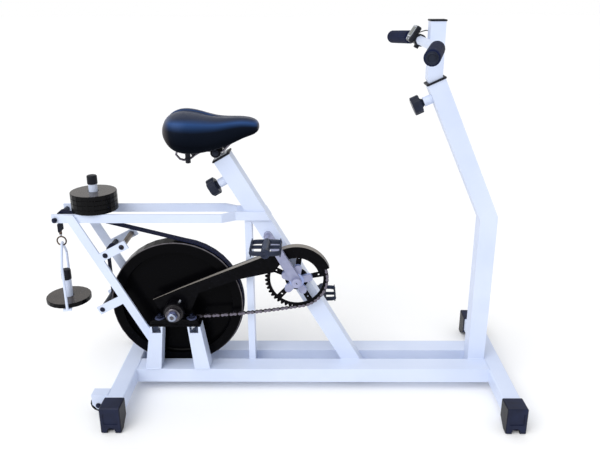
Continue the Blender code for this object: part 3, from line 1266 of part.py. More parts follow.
def weight_plate(name, x, bottom, thick, turn, pivot):
    """A round weight with a middle hole that passes over the peg's cap."""
    profile = [(PLATE_HOLE, thick), (PLATE_RADIUS - 0.001, thick), (PLATE_RADIUS, thick - 0.001),
               (PLATE_RADIUS, 0.001), (PLATE_RADIUS - 0.001, 0), (PLATE_HOLE, 0)]
    place = Matrix.Translation((x, 0, bottom)) @ Matrix.Rotation(turn, 4, 'Z')
    return finish(turned(name, profile, place, 24, closed=True), BLACK, 0.4, 0.6, pivot=pivot)


plate_axis = None
for i in range(STACK_COUNT):
    bottom = upper_top + GAP + i * (STACK_PLATE + GAP)
    plate_axis = empty(f"stack_plate_{i + 1}_lift", (STACK_X, 0, bottom), plate_axis)
    weight_plate(f"stack_plate_{i + 1}", STACK_X, bottom, STACK_PLATE, 0, plate_axis)

# Hanger: an eye and ring at the strap's end, and a wire frame with a bar, a peg and one weight
hang_point = Vector((HANGER_X, 0, HANGER_PIVOT_Z))
hang_axis = empty("hanger_swing", hang_point)
turn = Matrix.Translation((HANGER_X, 0, 0)) @ Matrix.Rotation(HANGER_TURN, 4, 'Z') @ Matrix.Translation((-HANGER_X, 0, 0))
ring_place = axis_frame((HANGER_X, 0, RING_CENTRE_Z), (0, 1, 0), (0, 0, 1))
wire_section = [(RING_RADIUS + RING_WIRE * math.cos(a), RING_WIRE * math.sin(a))
                for a in (-i * math.tau / 6 for i in range(6))]
ring = turned("hanger_ring", wire_section, ring_place, 18, closed=True)
strap_end_z = HANGER_PIVOT_Z + 0.008
ring_top = RING_CENTRE_Z + RING_RADIUS
eye_profile = [(0, strap_end_z - GAP), (0.0045, strap_end_z - GAP), (0.0045, HANGER_PIVOT_Z - 0.002),
               (0.0025, HANGER_PIVOT_Z - 0.004), (0.0025, ring_top), (0, ring_top)]
fuse(ring, turned("eye", eye_profile, Matrix.Translation((HANGER_X, 0, 0)), 10))
finish(ring, ZINC, 0.3, 1.0, pivot=hang_axis)

hook_z = RING_CENTRE_Z - RING_RADIUS + RING_WIRE + GAP + HANGER_ROD
bar_top = HANGER_BAR_Z + HANGER_BAR_THICK
frame_path = [(-HANGER_HALF, HANGER_BAR_Z + 0.001), (-HANGER_HALF, HANGER_KNEE_Z), (-0.009, hook_z), (0.009, hook_z),
              (HANGER_HALF, HANGER_KNEE_Z), (HANGER_HALF, HANGER_BAR_Z + 0.001)]
frame = rod("hanger_frame", [turn @ Vector((HANGER_X, y, z)) for y, z in frame_path], HANGER_ROD, 2)
half = HANGER_BAR_WIDTH / 2
bar_reach = HANGER_HALF + HANGER_ROD
strip_low = (HANGER_X - half, -bar_reach, HANGER_BAR_Z)
fuse(frame, box("bar", strip_low, (HANGER_X + half, bar_reach, bar_top), 0.001, turn))
peg_with_cap("hanger_peg_cap", frame, (HANGER_X, bar_top - 0.001), HANGER_CAP_Z, HANGER_CAP_HEIGHT, hang_axis)
finish(frame, WHITE, 0.35, pivot=hang_axis)
lift_axis = empty("hanger_weight_lift", (HANGER_X, 0, bar_top), hang_axis)
weight_plate("hanger_weight", HANGER_X, bar_top + GAP, HANGER_PLATE, 0.4, lift_axis)


# Brake strap: hanger, over the top roller, round the flywheel and up over the rear middle roller
def strap_path():
    """Middle line of the strap in side view."""
    small = ROLLER_RADIUS + GAP + STRAP_THICK / 2
    big = FLYWHEEL_RADIUS + GAP + STRAP_THICK / 2
    top = Vector(TOP_ROLLER)
    wheel = Vector(wheel_centre)
    middle = Vector(MID_ROLLER)
    across = wheel - top
    slope = math.atan2(across.y, across.x)
    leave = slope + math.acos((small - big) / across.length)
    rise = wheel - middle
    heading = math.atan2(rise.y, rise.x)
    meet = heading - math.acos((small - big) / rise.length)
    path = [(top.x - small, strap_end_z), *arc(top, small, math.pi, leave, 8)]
    path += arc(wheel, big, leave, meet - math.tau if meet > leave else meet, 44)
    path += arc(middle, small, meet if meet > 0 else meet + math.tau, math.radians(-25), 10)
    return path


strap = prism("brake_strap", strip(strap_path(), STRAP_THICK / 2), -STRAP_HALF, STRAP_HALF)
finish(strap, NAVY_BLACK, 0.9)
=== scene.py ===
import math
from math import cos, pi, radians, sin

import bmesh
import bpy
from mathutils import Matrix, Vector


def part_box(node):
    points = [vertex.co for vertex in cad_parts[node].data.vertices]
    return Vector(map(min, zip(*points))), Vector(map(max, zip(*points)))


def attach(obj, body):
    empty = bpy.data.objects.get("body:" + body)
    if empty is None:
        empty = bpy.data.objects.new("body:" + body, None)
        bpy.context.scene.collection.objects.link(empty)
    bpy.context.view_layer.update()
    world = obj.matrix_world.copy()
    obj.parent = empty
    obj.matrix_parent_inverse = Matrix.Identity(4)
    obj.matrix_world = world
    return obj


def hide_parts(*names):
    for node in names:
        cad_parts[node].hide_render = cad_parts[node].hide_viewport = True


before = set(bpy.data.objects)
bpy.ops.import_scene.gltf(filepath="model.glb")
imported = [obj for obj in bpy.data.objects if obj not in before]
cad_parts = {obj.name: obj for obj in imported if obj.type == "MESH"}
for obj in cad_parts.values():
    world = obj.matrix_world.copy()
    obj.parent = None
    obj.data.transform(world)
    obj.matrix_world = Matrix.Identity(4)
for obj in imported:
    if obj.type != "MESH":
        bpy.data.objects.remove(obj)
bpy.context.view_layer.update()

print("frame loaded:", len(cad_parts), "nodes")

# Places taken from the CAD model, metres
wheelAxle = Vector((-0.2934, 0, 0.260))
crankAxle = Vector((0.0646, 0, 0.352))
chainPlane = -0.044
stackX = -0.5164
hangerX = -0.6264


# Helpers for nodes and colours
def mm(size):
    return 1000 / size       # scale of a pattern whose real repeat is this many millimetres


def hexColour(code):
    channels = [int(code[i:i + 2], 16) / 255 for i in (1, 3, 5)]
    return (*[c / 12.92 if c <= 0.04045 else ((c + 0.055) / 1.055) ** 2.4 for c in channels], 1)


def addNode(mat, kind, settings=None, links=None):
    node = mat.node_tree.nodes.new("ShaderNode" + kind)
    for key, value in (settings or {}).items():
        if isinstance(key, str) and hasattr(node, key):
            setattr(node, key, value)
        else:
            node.inputs[key].default_value = value
    for socket, source in (links or {}).items():
        mat.node_tree.links.new(source, node.inputs[socket])
    return node


def newMaterial(name, uvMap=None):
    mat = bpy.data.materials.new(name)
    mat.use_nodes = True
    if uvMap:
        return mat, addNode(mat, "UVMap", {"uv_map": uvMap}).outputs["UV"]
    return mat, addNode(mat, "TexCoord").outputs["Object"]


def feed(mat, sources, look=(), node=None):
    # each socket by name gets a number, a hex colour or another node's output; a look can name sockets too
    node = node or mat.node_tree.nodes["Principled BSDF"]
    named = {key: look[key] for key in look if key in node.inputs}
    for socket, source in {**sources, **named}.items():
        if isinstance(source, bpy.types.NodeSocket):
            mat.node_tree.links.new(source, node.inputs[socket])
        else:
            node.inputs[socket].default_value = hexColour(source) if isinstance(source, str) else source
    return mat


def ramp(mat, source, first, second, low=0.3, high=0.7):
    # two hex colours, or two numbers
    node = addNode(mat, "ValToRGB", {}, {"Fac": source})
    for element, tone, position in zip(node.color_ramp.elements, (first, second), (low, high)):
        element.position = position
        element.color = hexColour(tone) if isinstance(tone, str) else (tone, tone, tone, 1)
    return node.outputs["Color"]


def noise(mat, place, sizeMm, detail, extra=None):
    settings = {"Scale": mm(sizeMm), "Detail": detail, **(extra or {})}
    return addNode(mat, "TexNoise", settings, {"Vector": place}).outputs["Fac"]


def turningMarks(mat, radius, sizeMm):
    # rings round an axis, from the distance to it
    settings = {"noise_dimensions": "1D", "Scale": mm(sizeMm), "Detail": 2}
    return addNode(mat, "TexNoise", settings, {"W": radius}).outputs["Fac"]


def axisDistance(mat, place, shift, keep):
    flat = addNode(mat, "Mapping", {"Location": shift, "Scale": keep}, {"Vector": place})
    length = addNode(mat, "VectorMath", {"operation": "LENGTH"}, {0: flat.outputs["Vector"]})
    return length.outputs["Value"]


def remap(mat, value, low, high, least=0, most=1):
    settings = {"From Min": low, "From Max": high, "To Min": least, "To Max": most}
    return addNode(mat, "MapRange", settings, {"Value": value}).outputs["Result"]


def compute(mat, operation, *terms):
    return addNode(mat, "Math", {"operation": operation}, dict(enumerate(terms))).outputs[0]


def oneAxis(mat, vector, axis):
    return addNode(mat, "SeparateXYZ", {}, {0: vector}).outputs[axis]


def facingShare(mat, axis, least, most):
    # 0 to 1 as the surface turns towards a world axis
    facing = addNode(mat, "NewGeometry").outputs["Normal"]
    return remap(mat, oneAxis(mat, facing, axis), least, most)


def blend(mat, share, under, over):
    # under where the share is 0 and over where it is 1, each a hex colour or an output
    node = addNode(mat, "Mix", {"data_type": "RGBA"}, {0: share})
    feed(mat, {6: under, 7: over}, node=node)
    return node.outputs[2]


def bump(mat, height, size, under=None, inward=False):
    # size is the bump's strength and its depth in metres
    links = {"Height": height, **({"Normal": under} if under else {})}
    settings = {"Strength": size[0], "Distance": size[1], "invert": inward}
    return addNode(mat, "Bump", settings, links).outputs["Normal"]


# Materials, each named for the real finish
print("materials")
coatLook = {"colour": "#CFD9EF", "shade": "#C8D3EB", "roughness": (0.30, 0.40), "driftMm": 140, "speckMm": 2.2,
            "peelMm": 1.6, "peelBump": (0.35, 0.00006), "IOR": 1.5}


def powderCoat():
    # polyester powder baked on steel tube: satin white, a faint orange peel, slightly cool
    look = coatLook
    mat, place = newMaterial("white_powder_coat")
    drift = noise(mat, place, look["driftMm"], 2)
    speck = noise(mat, place, look["speckMm"], 1)
    peel = noise(mat, place, look["peelMm"], 2)
    return feed(mat, {
        "Base Color": ramp(mat, drift, look["shade"], look["colour"], 0.35, 0.65),
        "Roughness": remap(mat, speck, 0.3, 0.7, *look["roughness"]),
        "Normal": bump(mat, peel, look["peelBump"])}, look)


# the grey-brown tone and its strip on the guard are painted sheen
enamelLook = {"colour": "#060608", "haze": "#0B0B0F", "roughness": (0.2, 0.32), "waveMm": 9,
              "waveBump": (0.3, 0.0002), "dustMm": 0.9, "Specular IOR Level": 0.04, "film": "#8B8680",
              "filmFacing": ("Z", 0.45, 0.8), "filmGrowth": 0.062, "filmEdge": 0.0255, "filmSoft": 0.001}


def blackEnamel(name, paintedSheenStrip=False):
    # sprayed stoving enamel on sheet and cast steel: deep black, glossy, slightly wavy
    look = enamelLook
    mat, place = newMaterial(name)
    wave = noise(mat, place, look["waveMm"], 2)
    dust = noise(mat, place, look["dustMm"], 3)
    tone = ramp(mat, wave, look["colour"], look["haze"])
    if paintedSheenStrip:
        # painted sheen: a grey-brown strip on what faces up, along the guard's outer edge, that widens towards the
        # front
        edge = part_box("chain_guard")[0].y + look["filmEdge"]
        widen = addNode(mat, "VectorMath",
                        {"operation": "DOT_PRODUCT", 1: (-look["filmGrowth"], 1, 0)}, {0: place}).outputs["Value"]
        strip = remap(mat, widen, edge + look["filmSoft"], edge - look["filmSoft"])
        share = compute(mat, "MULTIPLY", strip, facingShare(mat, *look["filmFacing"]))
        tone = blend(mat, share, tone, look["film"])
    return feed(mat, {
        "Base Color": tone,
        "Roughness": ramp(mat, dust, *look["roughness"], 0.35),
        "Normal": bump(mat, wave, look["waveBump"])}, look)


flywheelLook = {"paint": "#060608", "machined": "#787479", "edgeRadius": 0.1925, "edgeBand": 0.0025,
                "cornerFrom": 0.0212, "cornerTo": 0.0232, "castMm": 6, "turningMm": 1.4, "bump": (0.25, 0.00015),
                "roughness": (0.16, 0.26), "Specular IOR Level": 0.03}


def flywheelPaint():
    # turned cast iron sprayed gloss black, with a grey painted highlight along the rim's corner
    look = flywheelLook
    mat, place = newMaterial("painted_cast_iron_flywheel")
    radius = axisDistance(mat, place, (-wheelAxle.x, 0, -wheelAxle.z), (1, 0, 1))
    rim = remap(mat, radius, look["edgeRadius"], look["edgeRadius"] + look["edgeBand"])
    outer = compute(mat, "ABSOLUTE", oneAxis(mat, place, "Y"))
    # painted highlight: the corner of the rim is coloured grey
    rubbed = compute(mat, "MULTIPLY", rim, remap(mat, outer, look["cornerFrom"], look["cornerTo"]))
    cast = noise(mat, place, look["castMm"], 3)
    height = compute(mat, "ADD", cast, turningMarks(mat, radius, look["turningMm"]))
    return feed(mat, {
        "Base Color": blend(mat, rubbed, look["paint"], look["machined"]),
        "Roughness": ramp(mat, cast, *look["roughness"]),
        "Normal": bump(mat, height, look["bump"])}, look)


ironLook = {"edge": "#060608", "face": "#2F2926", "topSheenLight": "#3B3430", "grooveMm": 1.8, "cloudMm": 25,
            "bump": (0.3, 0.0001), "roughness": (0.14, 0.28), "specular": (0.1, 0.5), "up": ("Z", 0.75, 0.95)}


def weightIron(name, axleX):
    # turned grey iron under thin black lacquer with fine turning rings; what faces up is painted warm grey-brown as a
    # sheen
    look = ironLook
    mat, place = newMaterial(name)
    ring = turningMarks(mat, axisDistance(mat, place, (-axleX, 0, 0), (1, 1, 0)), look["grooveMm"])
    # painted sheen: the warm tone below goes only on faces that turn up, the rest stay black
    face = ramp(mat, noise(mat, place, look["cloudMm"], 3), look["face"], look["topSheenLight"])
    up = facingShare(mat, *look["up"])
    return feed(mat, {
        "Base Color": blend(mat, up, look["edge"], face),
        "Specular IOR Level": remap(mat, up, 0, 1, *look["specular"]),
        "Roughness": ramp(mat, ring, *look["roughness"]),
        "Normal": bump(mat, ring, look["bump"])})


metalLook = {"smoother": 0.06, "rougher": 0.1, "bump": (0.25, 0.00005), "armBack": -0.0570, "spiderFront": -0.0555}


def bareMetal(name, light, dark, roughness, grainMm, stretch=(1, 1, 1), metallic=1.0, cloudMm=18, behind=None):
    # polished, plated or rolled metal: fine streaks along the stretch axis and cloudy patches
    look = metalLook
    mat, place = newMaterial(name)
    along = addNode(mat, "Mapping", {"Scale": stretch}, {"Vector": place}).outputs["Vector"]
    streak = noise(mat, along, grainMm, 3)
    tone = ramp(mat, noise(mat, place, cloudMm, 2), dark, light)
    if behind:
        # another tone on the spider, which stands behind the crank arm
        depth = remap(mat, oneAxis(mat, place, "Y"), look["armBack"], look["spiderFront"])
        tone = blend(mat, depth, tone, behind)
    return feed(mat, {
        "Base Color": tone, "Metallic": metallic,
        "Roughness": ramp(mat, streak, roughness - look["smoother"], roughness + look["rougher"]),
        "Normal": bump(mat, streak, look["bump"])})


plasticLook = {"flowMm": 30, "smoother": 0.05, "rougher": 0.1, "bump": (0.4, 0.00012), "flank": (0.5, 0.9),
               "IOR": 1.49, "Specular IOR Level": 0.2}


def mouldedPlastic(name, colour, worn, roughness, grainMm, flank=None):
    # injection moulded polypropylene or ABS: spark-eroded grain, drawn a little coarse so that it shows
    look = plasticLook
    mat, place = newMaterial(name)
    grain = noise(mat, place, grainMm, 3, {"Roughness": 0.6})
    tone = ramp(mat, noise(mat, place, look["flowMm"], 2), colour, worn, 0.3, 0.75)
    if flank:
        # painted shade: darker where it faces forwards or backwards
        turned = [facingShare(mat, "X", *[way * share for share in look["flank"]]) for way in (1, -1)]
        tone = blend(mat, compute(mat, "ADD", *turned), tone, flank)
    return feed(mat, {
        "Base Color": tone,
        "Roughness": ramp(mat, grain, roughness - look["smoother"], roughness + look["rougher"]),
        "Normal": bump(mat, grain, look["bump"])}, look)


foamLook = {"colour": "#0B122B", "worn": "#121B3A", "cellMm": 1.3, "cloudMm": 20, "bump": (0.5, 0.0003),
            "Roughness": 0.85, "Sheen Weight": 0.02, "Specular IOR Level": 0.12}


def gripFoam():
    # closed-cell nitrile foam tube: matt slate black, fine open pores at the skin
    look = foamLook
    mat, place = newMaterial("nitrile_foam_grip")
    cells = addNode(mat, "TexVoronoi", {"Scale": mm(look["cellMm"])}, {"Vector": place})
    cloud = noise(mat, place, look["cloudMm"], 3)
    return feed(mat, {
        "Base Color": ramp(mat, cloud, look["colour"], look["worn"]),
        "Normal": bump(mat, cells.outputs["Distance"], look["bump"])}, look)


leatherLook = {"colour": "#050609", "crease": "#030405", "sheen": ("#23406E", "Z", 0.2, 0.64),
               "crown": ("#1E2434", "Z", 0.64, 0.88), "rear": ("#3A3430", "X", -0.5, -0.95),
               "roughness": (0.30, 0.44), "pebbleMm": 1.9, "pebbleBump": (0.5, 0.00025), "foldMm": 12,
               "foldBump": (0.2, 0.001), "shine": ("Z", -0.1, 0.6), "specular": (0.06, 0.5),
               "Sheen Weight": 0.05, "Sheen Tint": "#7F97CC", "Specular Tint": "#8FACEA"}


def leatherette():
    # black embossed polyurethane skin over foam with pebble grain; a blue-grey sheen, a grey-navy top and a
    # grey-brown reflection at the rear are painted into its colour by the way each face turns
    look = leatherLook
    mat, place = newMaterial("black_leatherette")
    pebble = addNode(mat, "TexVoronoi", {"Scale": mm(look["pebbleMm"]), "feature": "SMOOTH_F1"},
                     {"Vector": place}).outputs["Distance"]
    fold = noise(mat, place, look["foldMm"], 4)
    # painted shade: darker in the hollows of the pebble grain
    tone = ramp(mat, pebble, look["colour"], look["crease"], 0.2, 0.75)
    # painted sheen and reflection: blue where faces turn partly up, grey-navy on the top, grey-brown where they turn
    # to the rear
    for part in ("sheen", "crown", "rear"):
        over, *facing = look[part]
        tone = blend(mat, facingShare(mat, *facing), tone, over)
    shine = remap(mat, facingShare(mat, *look["shine"]), 0, 1, *look["specular"])
    rise = bump(mat, pebble, look["pebbleBump"], inward=True)
    return feed(mat, {
        "Base Color": tone, "Specular IOR Level": shine,
        "Roughness": ramp(mat, fold, *look["roughness"]),
        "Normal": bump(mat, fold, look["foldBump"], under=rise)}, look)


strapLook = {"warp": "#0B1029", "weft": "#141B3A", "ribMm": 1.6, "ribWander": 0.2, "pickMm": 1.3, "pickWander": 0.3,
             "bump": (0.6, 0.0003), "Roughness": 0.8, "Sheen Weight": 0.02, "Specular IOR Level": 0.1}


def strapWebbing():
    # woven polyester webbing, navy black: ribs run along the strap and picks cross it, on its own UV in metres
    look = strapLook
    mat, cloth = newMaterial("woven_polyester_webbing", "strapRun")
    threads = []
    for way, kind in (("Y", "rib"), ("X", "pick")):
        settings = {"bands_direction": way, "Scale": mm(look[kind + "Mm"]) / 20, "Distortion": look[kind + "Wander"]}
        threads.append(addNode(mat, "TexWave", settings, {"Vector": cloth}).outputs["Fac"])
    weave = compute(mat, "MULTIPLY", *threads)
    return feed(mat, {
        "Base Color": ramp(mat, weave, look["warp"], look["weft"], 0.1, 0.8),
        "Normal": bump(mat, weave, look["bump"])}, look)


chainLook = {"oilDark": "#221F22", "oilLight": "#3D383A", "rubbedDark": "#625D6A", "rubbedLight": "#7A7581",
             "grimeMm": 3, "roughness": (0.28, 0.44), "Metallic": 0.75}


def chainSteel():
    # oiled roller chain: outer plates rubbed bright, inner links dark with old oil, told by the mesh's linkTone
    look = chainLook
    mat, place = newMaterial("oiled_chain_steel")
    link = addNode(mat, "Attribute", {"attribute_name": "linkTone"}).outputs["Fac"]
    grime = noise(mat, place, look["grimeMm"], 3)
    oiled, rubbed = [ramp(mat, grime, look[tone + "Dark"], look[tone + "Light"])
                     for tone in ("oil", "rubbed")]
    return feed(mat, {
        "Base Color": blend(mat, link, oiled, rubbed),
        "Roughness": ramp(mat, grime, *look["roughness"])}, look)


# Metals: light and dark tone, roughness, grain in mm, stretch, metallic share, cloud in mm, tone behind
finish = {
    "powder": powderCoat(),
    "enamel": blackEnamel("black_stoving_enamel"),
    # the guard's enamel carries a painted sheen strip along its top edge
    "guardEnamel": blackEnamel("black_guard_enamel_painted_sheen", paintedSheenStrip=True),
    "flywheel": flywheelPaint(),
    "stackIron": weightIron("lacquered_turned_iron_stack", stackX),
    "hangerIron": weightIron("lacquered_turned_iron_hanger", hangerX),
    "chain": chainSteel(),
    "sprocket": bareMetal("oiled_sprocket_steel", "#8D8583", "#3B3536", 0.38, 1.2, metallic=0.9, cloudMm=5),
    "zinc": bareMetal("bright_zinc_plate", "#C6CAD2", "#A9ADB6", 0.26, 1.0, (1, 1, 4)),
    "zincWire": bareMetal("dull_spring_wire", "#7C7883", "#4A4650", 0.34, 1.0, (1, 1, 4)),
    "axle": bareMetal("ground_steel_axle", "#B4BDD0", "#8F98AE", 0.2, 1.0, (1, 4, 1)),
    "roller": bareMetal("turned_steel_roller", "#6E655E", "#57504B", 0.34, 1.1, (1, 6, 1)),
    "alloy": bareMetal("silver_lacquered_aluminium", "#B6BCD6", "#A8AFCE", 0.4, 1.0, metallic=0.4),
    "spider": bareMetal("silver_lacquered_crank", "#9CA0BC", "#8E92B0", 0.4, 1.0, metallic=0.35, behind="#9AA9DA"),
    "boss": bareMetal("blue_silver_lacquered_aluminium", "#A6B2DC", "#97A6D6", 0.4, 1.0, metallic=0.35),
    "bronze": bareMetal("bronzed_steel_ring", "#75655A", "#453A34", 0.3, 1.0),
    "darkBolt": bareMetal("black_zinc_bolt", "#20263E", "#10131F", 0.34, 0.9, (1, 1, 3), 0.8),
    "castLug": bareMetal("blue_grey_cast_lug", "#4B5273", "#393F5A", 0.5, 0.9, metallic=0.2),
    "blueZinc": bareMetal("blue_passivated_zinc", "#8189B4", "#565D80", 0.3, 0.9, (1, 1, 3), 0.9),
    "bearingRing": bareMetal("bearing_seal_ring", "#3C3A3C", "#232226", 0.3, 0.9, metallic=0.6),
    "collar": bareMetal("oiled_bearing_collar", "#77747A", "#3A383F", 0.22, 0.9, metallic=0.85, cloudMm=9),
    "plastic": mouldedPlastic("moulded_polypropylene", "#0A0C15", "#10131F", 0.4, 1.1),
    # the foot caps' last colour is painted shade on their front and back faces
    "footCap": mouldedPlastic("moulded_foot_cap", "#11172E", "#18203C", 0.42, 1.1, "#05030A"),
    "knob": mouldedPlastic("moulded_nylon_knob", "#141927", "#1E2537", 0.34, 1.1),
    "pedal": mouldedPlastic("moulded_pedal_nylon", "#1B2132", "#2A3247", 0.36, 1.2),
    "tread": mouldedPlastic("rubber_tyre", "#0E0F12", "#1A1B1F", 0.65, 1.4),
    "case": mouldedPlastic("display_case_abs", "#15171D", "#1D2028", 0.38, 1.0),
    "cable": mouldedPlastic("cable_sheath_pvc", "#0D0E12", "#15171D", 0.42, 1.0),
    "silverPaint": mouldedPlastic("silver_painted_abs", "#B6BBC4", "#A2A8B2", 0.3, 1.0),
    "hubCap": mouldedPlastic("silver_grey_hub_cap", "#989CBA", "#A7ABC9", 0.4, 0.9),
    "lcd": mouldedPlastic("liquid_crystal_window", "#3E463F", "#4A544B", 0.16, 3.0),
    "cloth": mouldedPlastic("folded_webbing", "#12141E", "#1A1D2A", 0.75, 1.2),
    "seam": mouldedPlastic("waxed_seam_thread", "#39435C", "#4A5674", 0.5, 0.8),
    "foam": gripFoam(),
    "leather": leatherette(),
    "webbing": strapWebbing(),
}

# A name that ends in _ stands for the pair on the left and the right
nodeFinish = {
    "powder": "base_rail_ upper_rail_ diagonal_rail_ rear_cross_tube front_cross_tube front_post seat_tube "
              "seat_strut weight_peg handlebar_stem handlebar hanger_frame",
    "guardEnamel": "chain_guard",
    "enamel": "pillow_block_ bearing_plate_ chainring saddle_clamp",
    "flywheel": "flywheel",
    "stackIron": "stack_plate_1 stack_plate_2 stack_plate_3 stack_plate_4",
    "hangerIron": "hanger_weight",
    "sprocket": "drive_sprocket",
    "zinc": "seat_post",
    "zincWire": "saddle_rails",
    "axle": "flywheel_axle",
    "roller": "mid_roller_front",
    "spider": "right_crank",
    "alloy": "left_crank",
    "bronze": "hanger_ring",
    "knob": "post_knob seat_knob top_roller mid_roller_rear lower_roller",
    "footCap": "foot_cap_rear_ foot_cap_front_",
    "plastic": "front_post_collar seat_tube_collar weight_peg_cap hanger_peg_cap",
    "pedal": "pedal_",
    "tread": "transport_wheel_",
    "case": "console",
    "cable": "console_cable",
    "foam": "grip_",
    "leather": "saddle_cover",
    "webbing": "brake_strap",
    "chain": "drive_chain",
}
for look, names in nodeFinish.items():
    for name in names.split():
        for node in [name + "left", name + "right"] if name.endswith("_") else [name]:
            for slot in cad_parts[node].material_slots:
                slot.material = finish[look]
print("nodes dressed")


# Helpers for modelling
def letGo():
    if bpy.context.object and bpy.context.object.mode != "OBJECT":
        bpy.ops.object.mode_set(mode="OBJECT")
    bpy.ops.object.select_all(action="DESELECT")


def choose(*pieces):
    letGo()
    for piece in pieces:
        piece.select_set(True)
    bpy.context.view_layer.objects.active = pieces[0]


def editMode(piece, action="SELECT"):
    choose(piece)
    bpy.ops.object.mode_set(mode="EDIT")
    bpy.ops.mesh.select_all(action=action)


def objectMode():
    bpy.ops.object.mode_set(mode="OBJECT")


def pick(piece, kind, wanted):
    # edit mode with only the wanted faces or edges selected
    editMode(piece, "DESELECT")
    bpy.ops.mesh.select_mode(type=kind)
    shape = bmesh.from_edit_mesh(piece.data)
    for part in shape.faces if kind == "FACE" else shape.edges:
        part.select_set(bool(wanted(part)))
    bmesh.update_edit_mesh(piece.data)


def turnOutward():
    # every face of the piece in edit mode
    bpy.ops.mesh.select_all(action="SELECT")
    bpy.ops.mesh.normals_make_consistent(inside=False)
    objectMode()


def meshPiece(name, points, faces, edges=()):
    shape = bpy.data.meshes.new(name)
    shape.from_pydata(points, edges, faces)
    piece = bpy.data.objects.new(name, shape)
    bpy.context.collection.objects.link(piece)
    return piece


def loft(name, rings, closed=True):
    # rings of points joined by faces: a closed and capped skin, or an open sheet
    n = len(rings[0])
    faces = [(r * n + i, r * n + (i + 1) % n, (r + 1) * n + (i + 1) % n, (r + 1) * n + i)
             for r in range(len(rings) - 1) for i in range(n if closed else n - 1)]
    if closed:
        faces += [tuple(range(n))[::-1], tuple(range((len(rings) - 1) * n, len(rings) * n))]
    piece = meshPiece(name, [point for ring in rings for point in ring], faces)
    if closed:
        editMode(piece)
        turnOutward()
    return piece


def slab(outline, shift):
    # a flat outline raised by the shift
    piece = meshPiece("slab", outline, [tuple(range(len(outline)))])
    pick(piece, "FACE", lambda face: True)
    bpy.ops.mesh.extrude_region_move(TRANSFORM_OT_translate={"value": shift})
    turnOutward()
    return piece


def turnedPiece(profile, steps=40, closed=False):
    # (radius, height) points spun round Z
    last = len(profile)
    edges = [(i, (i + 1) % last) for i in range(last if closed else last - 1)]
    piece = meshPiece("profile", [(r, 0, z) for r, z in profile], [], edges)
    editMode(piece)
    bpy.ops.mesh.spin(steps=steps, angle=2 * pi, center=(0, 0, 0), axis=(0, 0, 1))
    bpy.ops.mesh.select_all(action="SELECT")
    bpy.ops.mesh.remove_doubles(threshold=0.00002)
    turnOutward()
    return piece


def roundBar(sides, radius, depth):
    # a cylinder that stands on the origin, along Z
    letGo()
    bpy.ops.mesh.primitive_cylinder_add(vertices=sides, radius=radius, depth=depth, location=(0, 0, depth / 2))
    bpy.ops.object.transform_apply(location=True, rotation=False, scale=False)
    return bpy.context.object


def block(size, centre=(0, 0, 0)):
    letGo()
    bpy.ops.mesh.primitive_cube_add(size=1, location=centre)
    bpy.ops.transform.resize(value=size)
    bpy.ops.object.transform_apply(location=True, rotation=False, scale=True)
    return bpy.context.object


def tube(points, radius, sides=2, widths=None):
    # a round tube along points, as a closed mesh; widths scale the radius point by point
    letGo()
    line = bpy.data.curves.new("line", "CURVE")
    line.dimensions, line.bevel_depth, line.bevel_resolution, line.use_fill_caps = "3D", radius, sides, True
    spline = line.splines.new("POLY")
    spline.points.add(len(points) - 1)
    for i, point in enumerate(points):
        spline.points[i].co = (*point, 1)
        if widths:
            spline.points[i].radius = widths[i]
    piece = bpy.data.objects.new("line", line)
    bpy.context.collection.objects.link(piece)
    choose(piece)
    bpy.ops.object.convert(target="MESH")
    return bpy.context.object


def bevelEdges(piece, width, segments, wanted=lambda a, b: True):
    # wanted gets the two ends of an edge
    pick(piece, "EDGE", lambda edge: wanted(edge.verts[0].co, edge.verts[1].co))
    bpy.ops.mesh.bevel(offset=width, segments=segments, affect="EDGES")
    objectMode()
    return piece


def longAlong(axis, least):
    # picks edges longer than this along an axis
    return lambda a, b: abs(a[axis] - b[axis]) > least


def sinkFaces(piece, wanted, rim, depth):
    # a shallow recess with a rim; wanted gets a face's normal
    pick(piece, "FACE", lambda face: wanted(face.normal))
    bpy.ops.mesh.inset(thickness=rim, depth=-depth)
    objectMode()
    return piece


def joined(pieces):
    choose(*pieces)
    if len(pieces) > 1:
        bpy.ops.object.join()
    return bpy.context.object


def move(x, y, z):
    return Matrix.Translation((x, y, z))


def turn(angle, axis):
    return Matrix.Rotation(angle, 4, axis)


def aim(point, axis, side=(0, 1, 0)):
    # a place whose Z runs along axis
    z = Vector(axis).normalized()
    x = Vector(side).cross(z)
    if x.length < 0.001:
        x = Vector((1, 0, 0)).cross(z)
    x.normalize()
    return move(*point) @ Matrix((x, z.cross(x), z)).transposed().to_4x4()


def eachSide(x, reach, z, side=(0, 1, 0)):
    # a place on the right and one on the left, both facing outwards
    return [aim((x, way * reach, z), (0, way, 0), side) for way in (-1, 1)]


def put(piece, place):
    piece.data.transform(place)
    return piece


def twinAt(piece, place):
    # a copy with its own mesh, put at a place
    twin = piece.copy()
    twin.data = piece.data.copy()
    bpy.context.collection.objects.link(twin)
    return put(twin, place)


def settle(piece, name, look, body, slotName, smoothAngle=35):
    # modifiers and transforms applied, finish given, body named
    choose(piece)
    for modifier in list(piece.modifiers):
        bpy.ops.object.modifier_apply(modifier=modifier.name)
    bpy.ops.object.transform_apply(location=True, rotation=True, scale=True)
    bpy.ops.object.shade_smooth_by_angle(angle=radians(smoothAngle))
    piece.name = name
    piece.data.name = name
    piece.data.materials.clear()
    piece.data.materials.append(finish[look])
    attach(piece, body)
    return piece


def spread(master, places, name, look, body, slotName):
    # the master copied to each place, all as one piece
    copies = [twinAt(master, place) for place in places]
    bpy.data.objects.remove(master)
    return settle(joined(copies), name, look, body, slotName)


def arc(centre, radius, start, end, steps):
    # points in side view, x and z
    angles = [start + (end - start) * i / steps for i in range(steps + 1)]
    return [centre + Vector((cos(angle), sin(angle))) * radius for angle in angles]


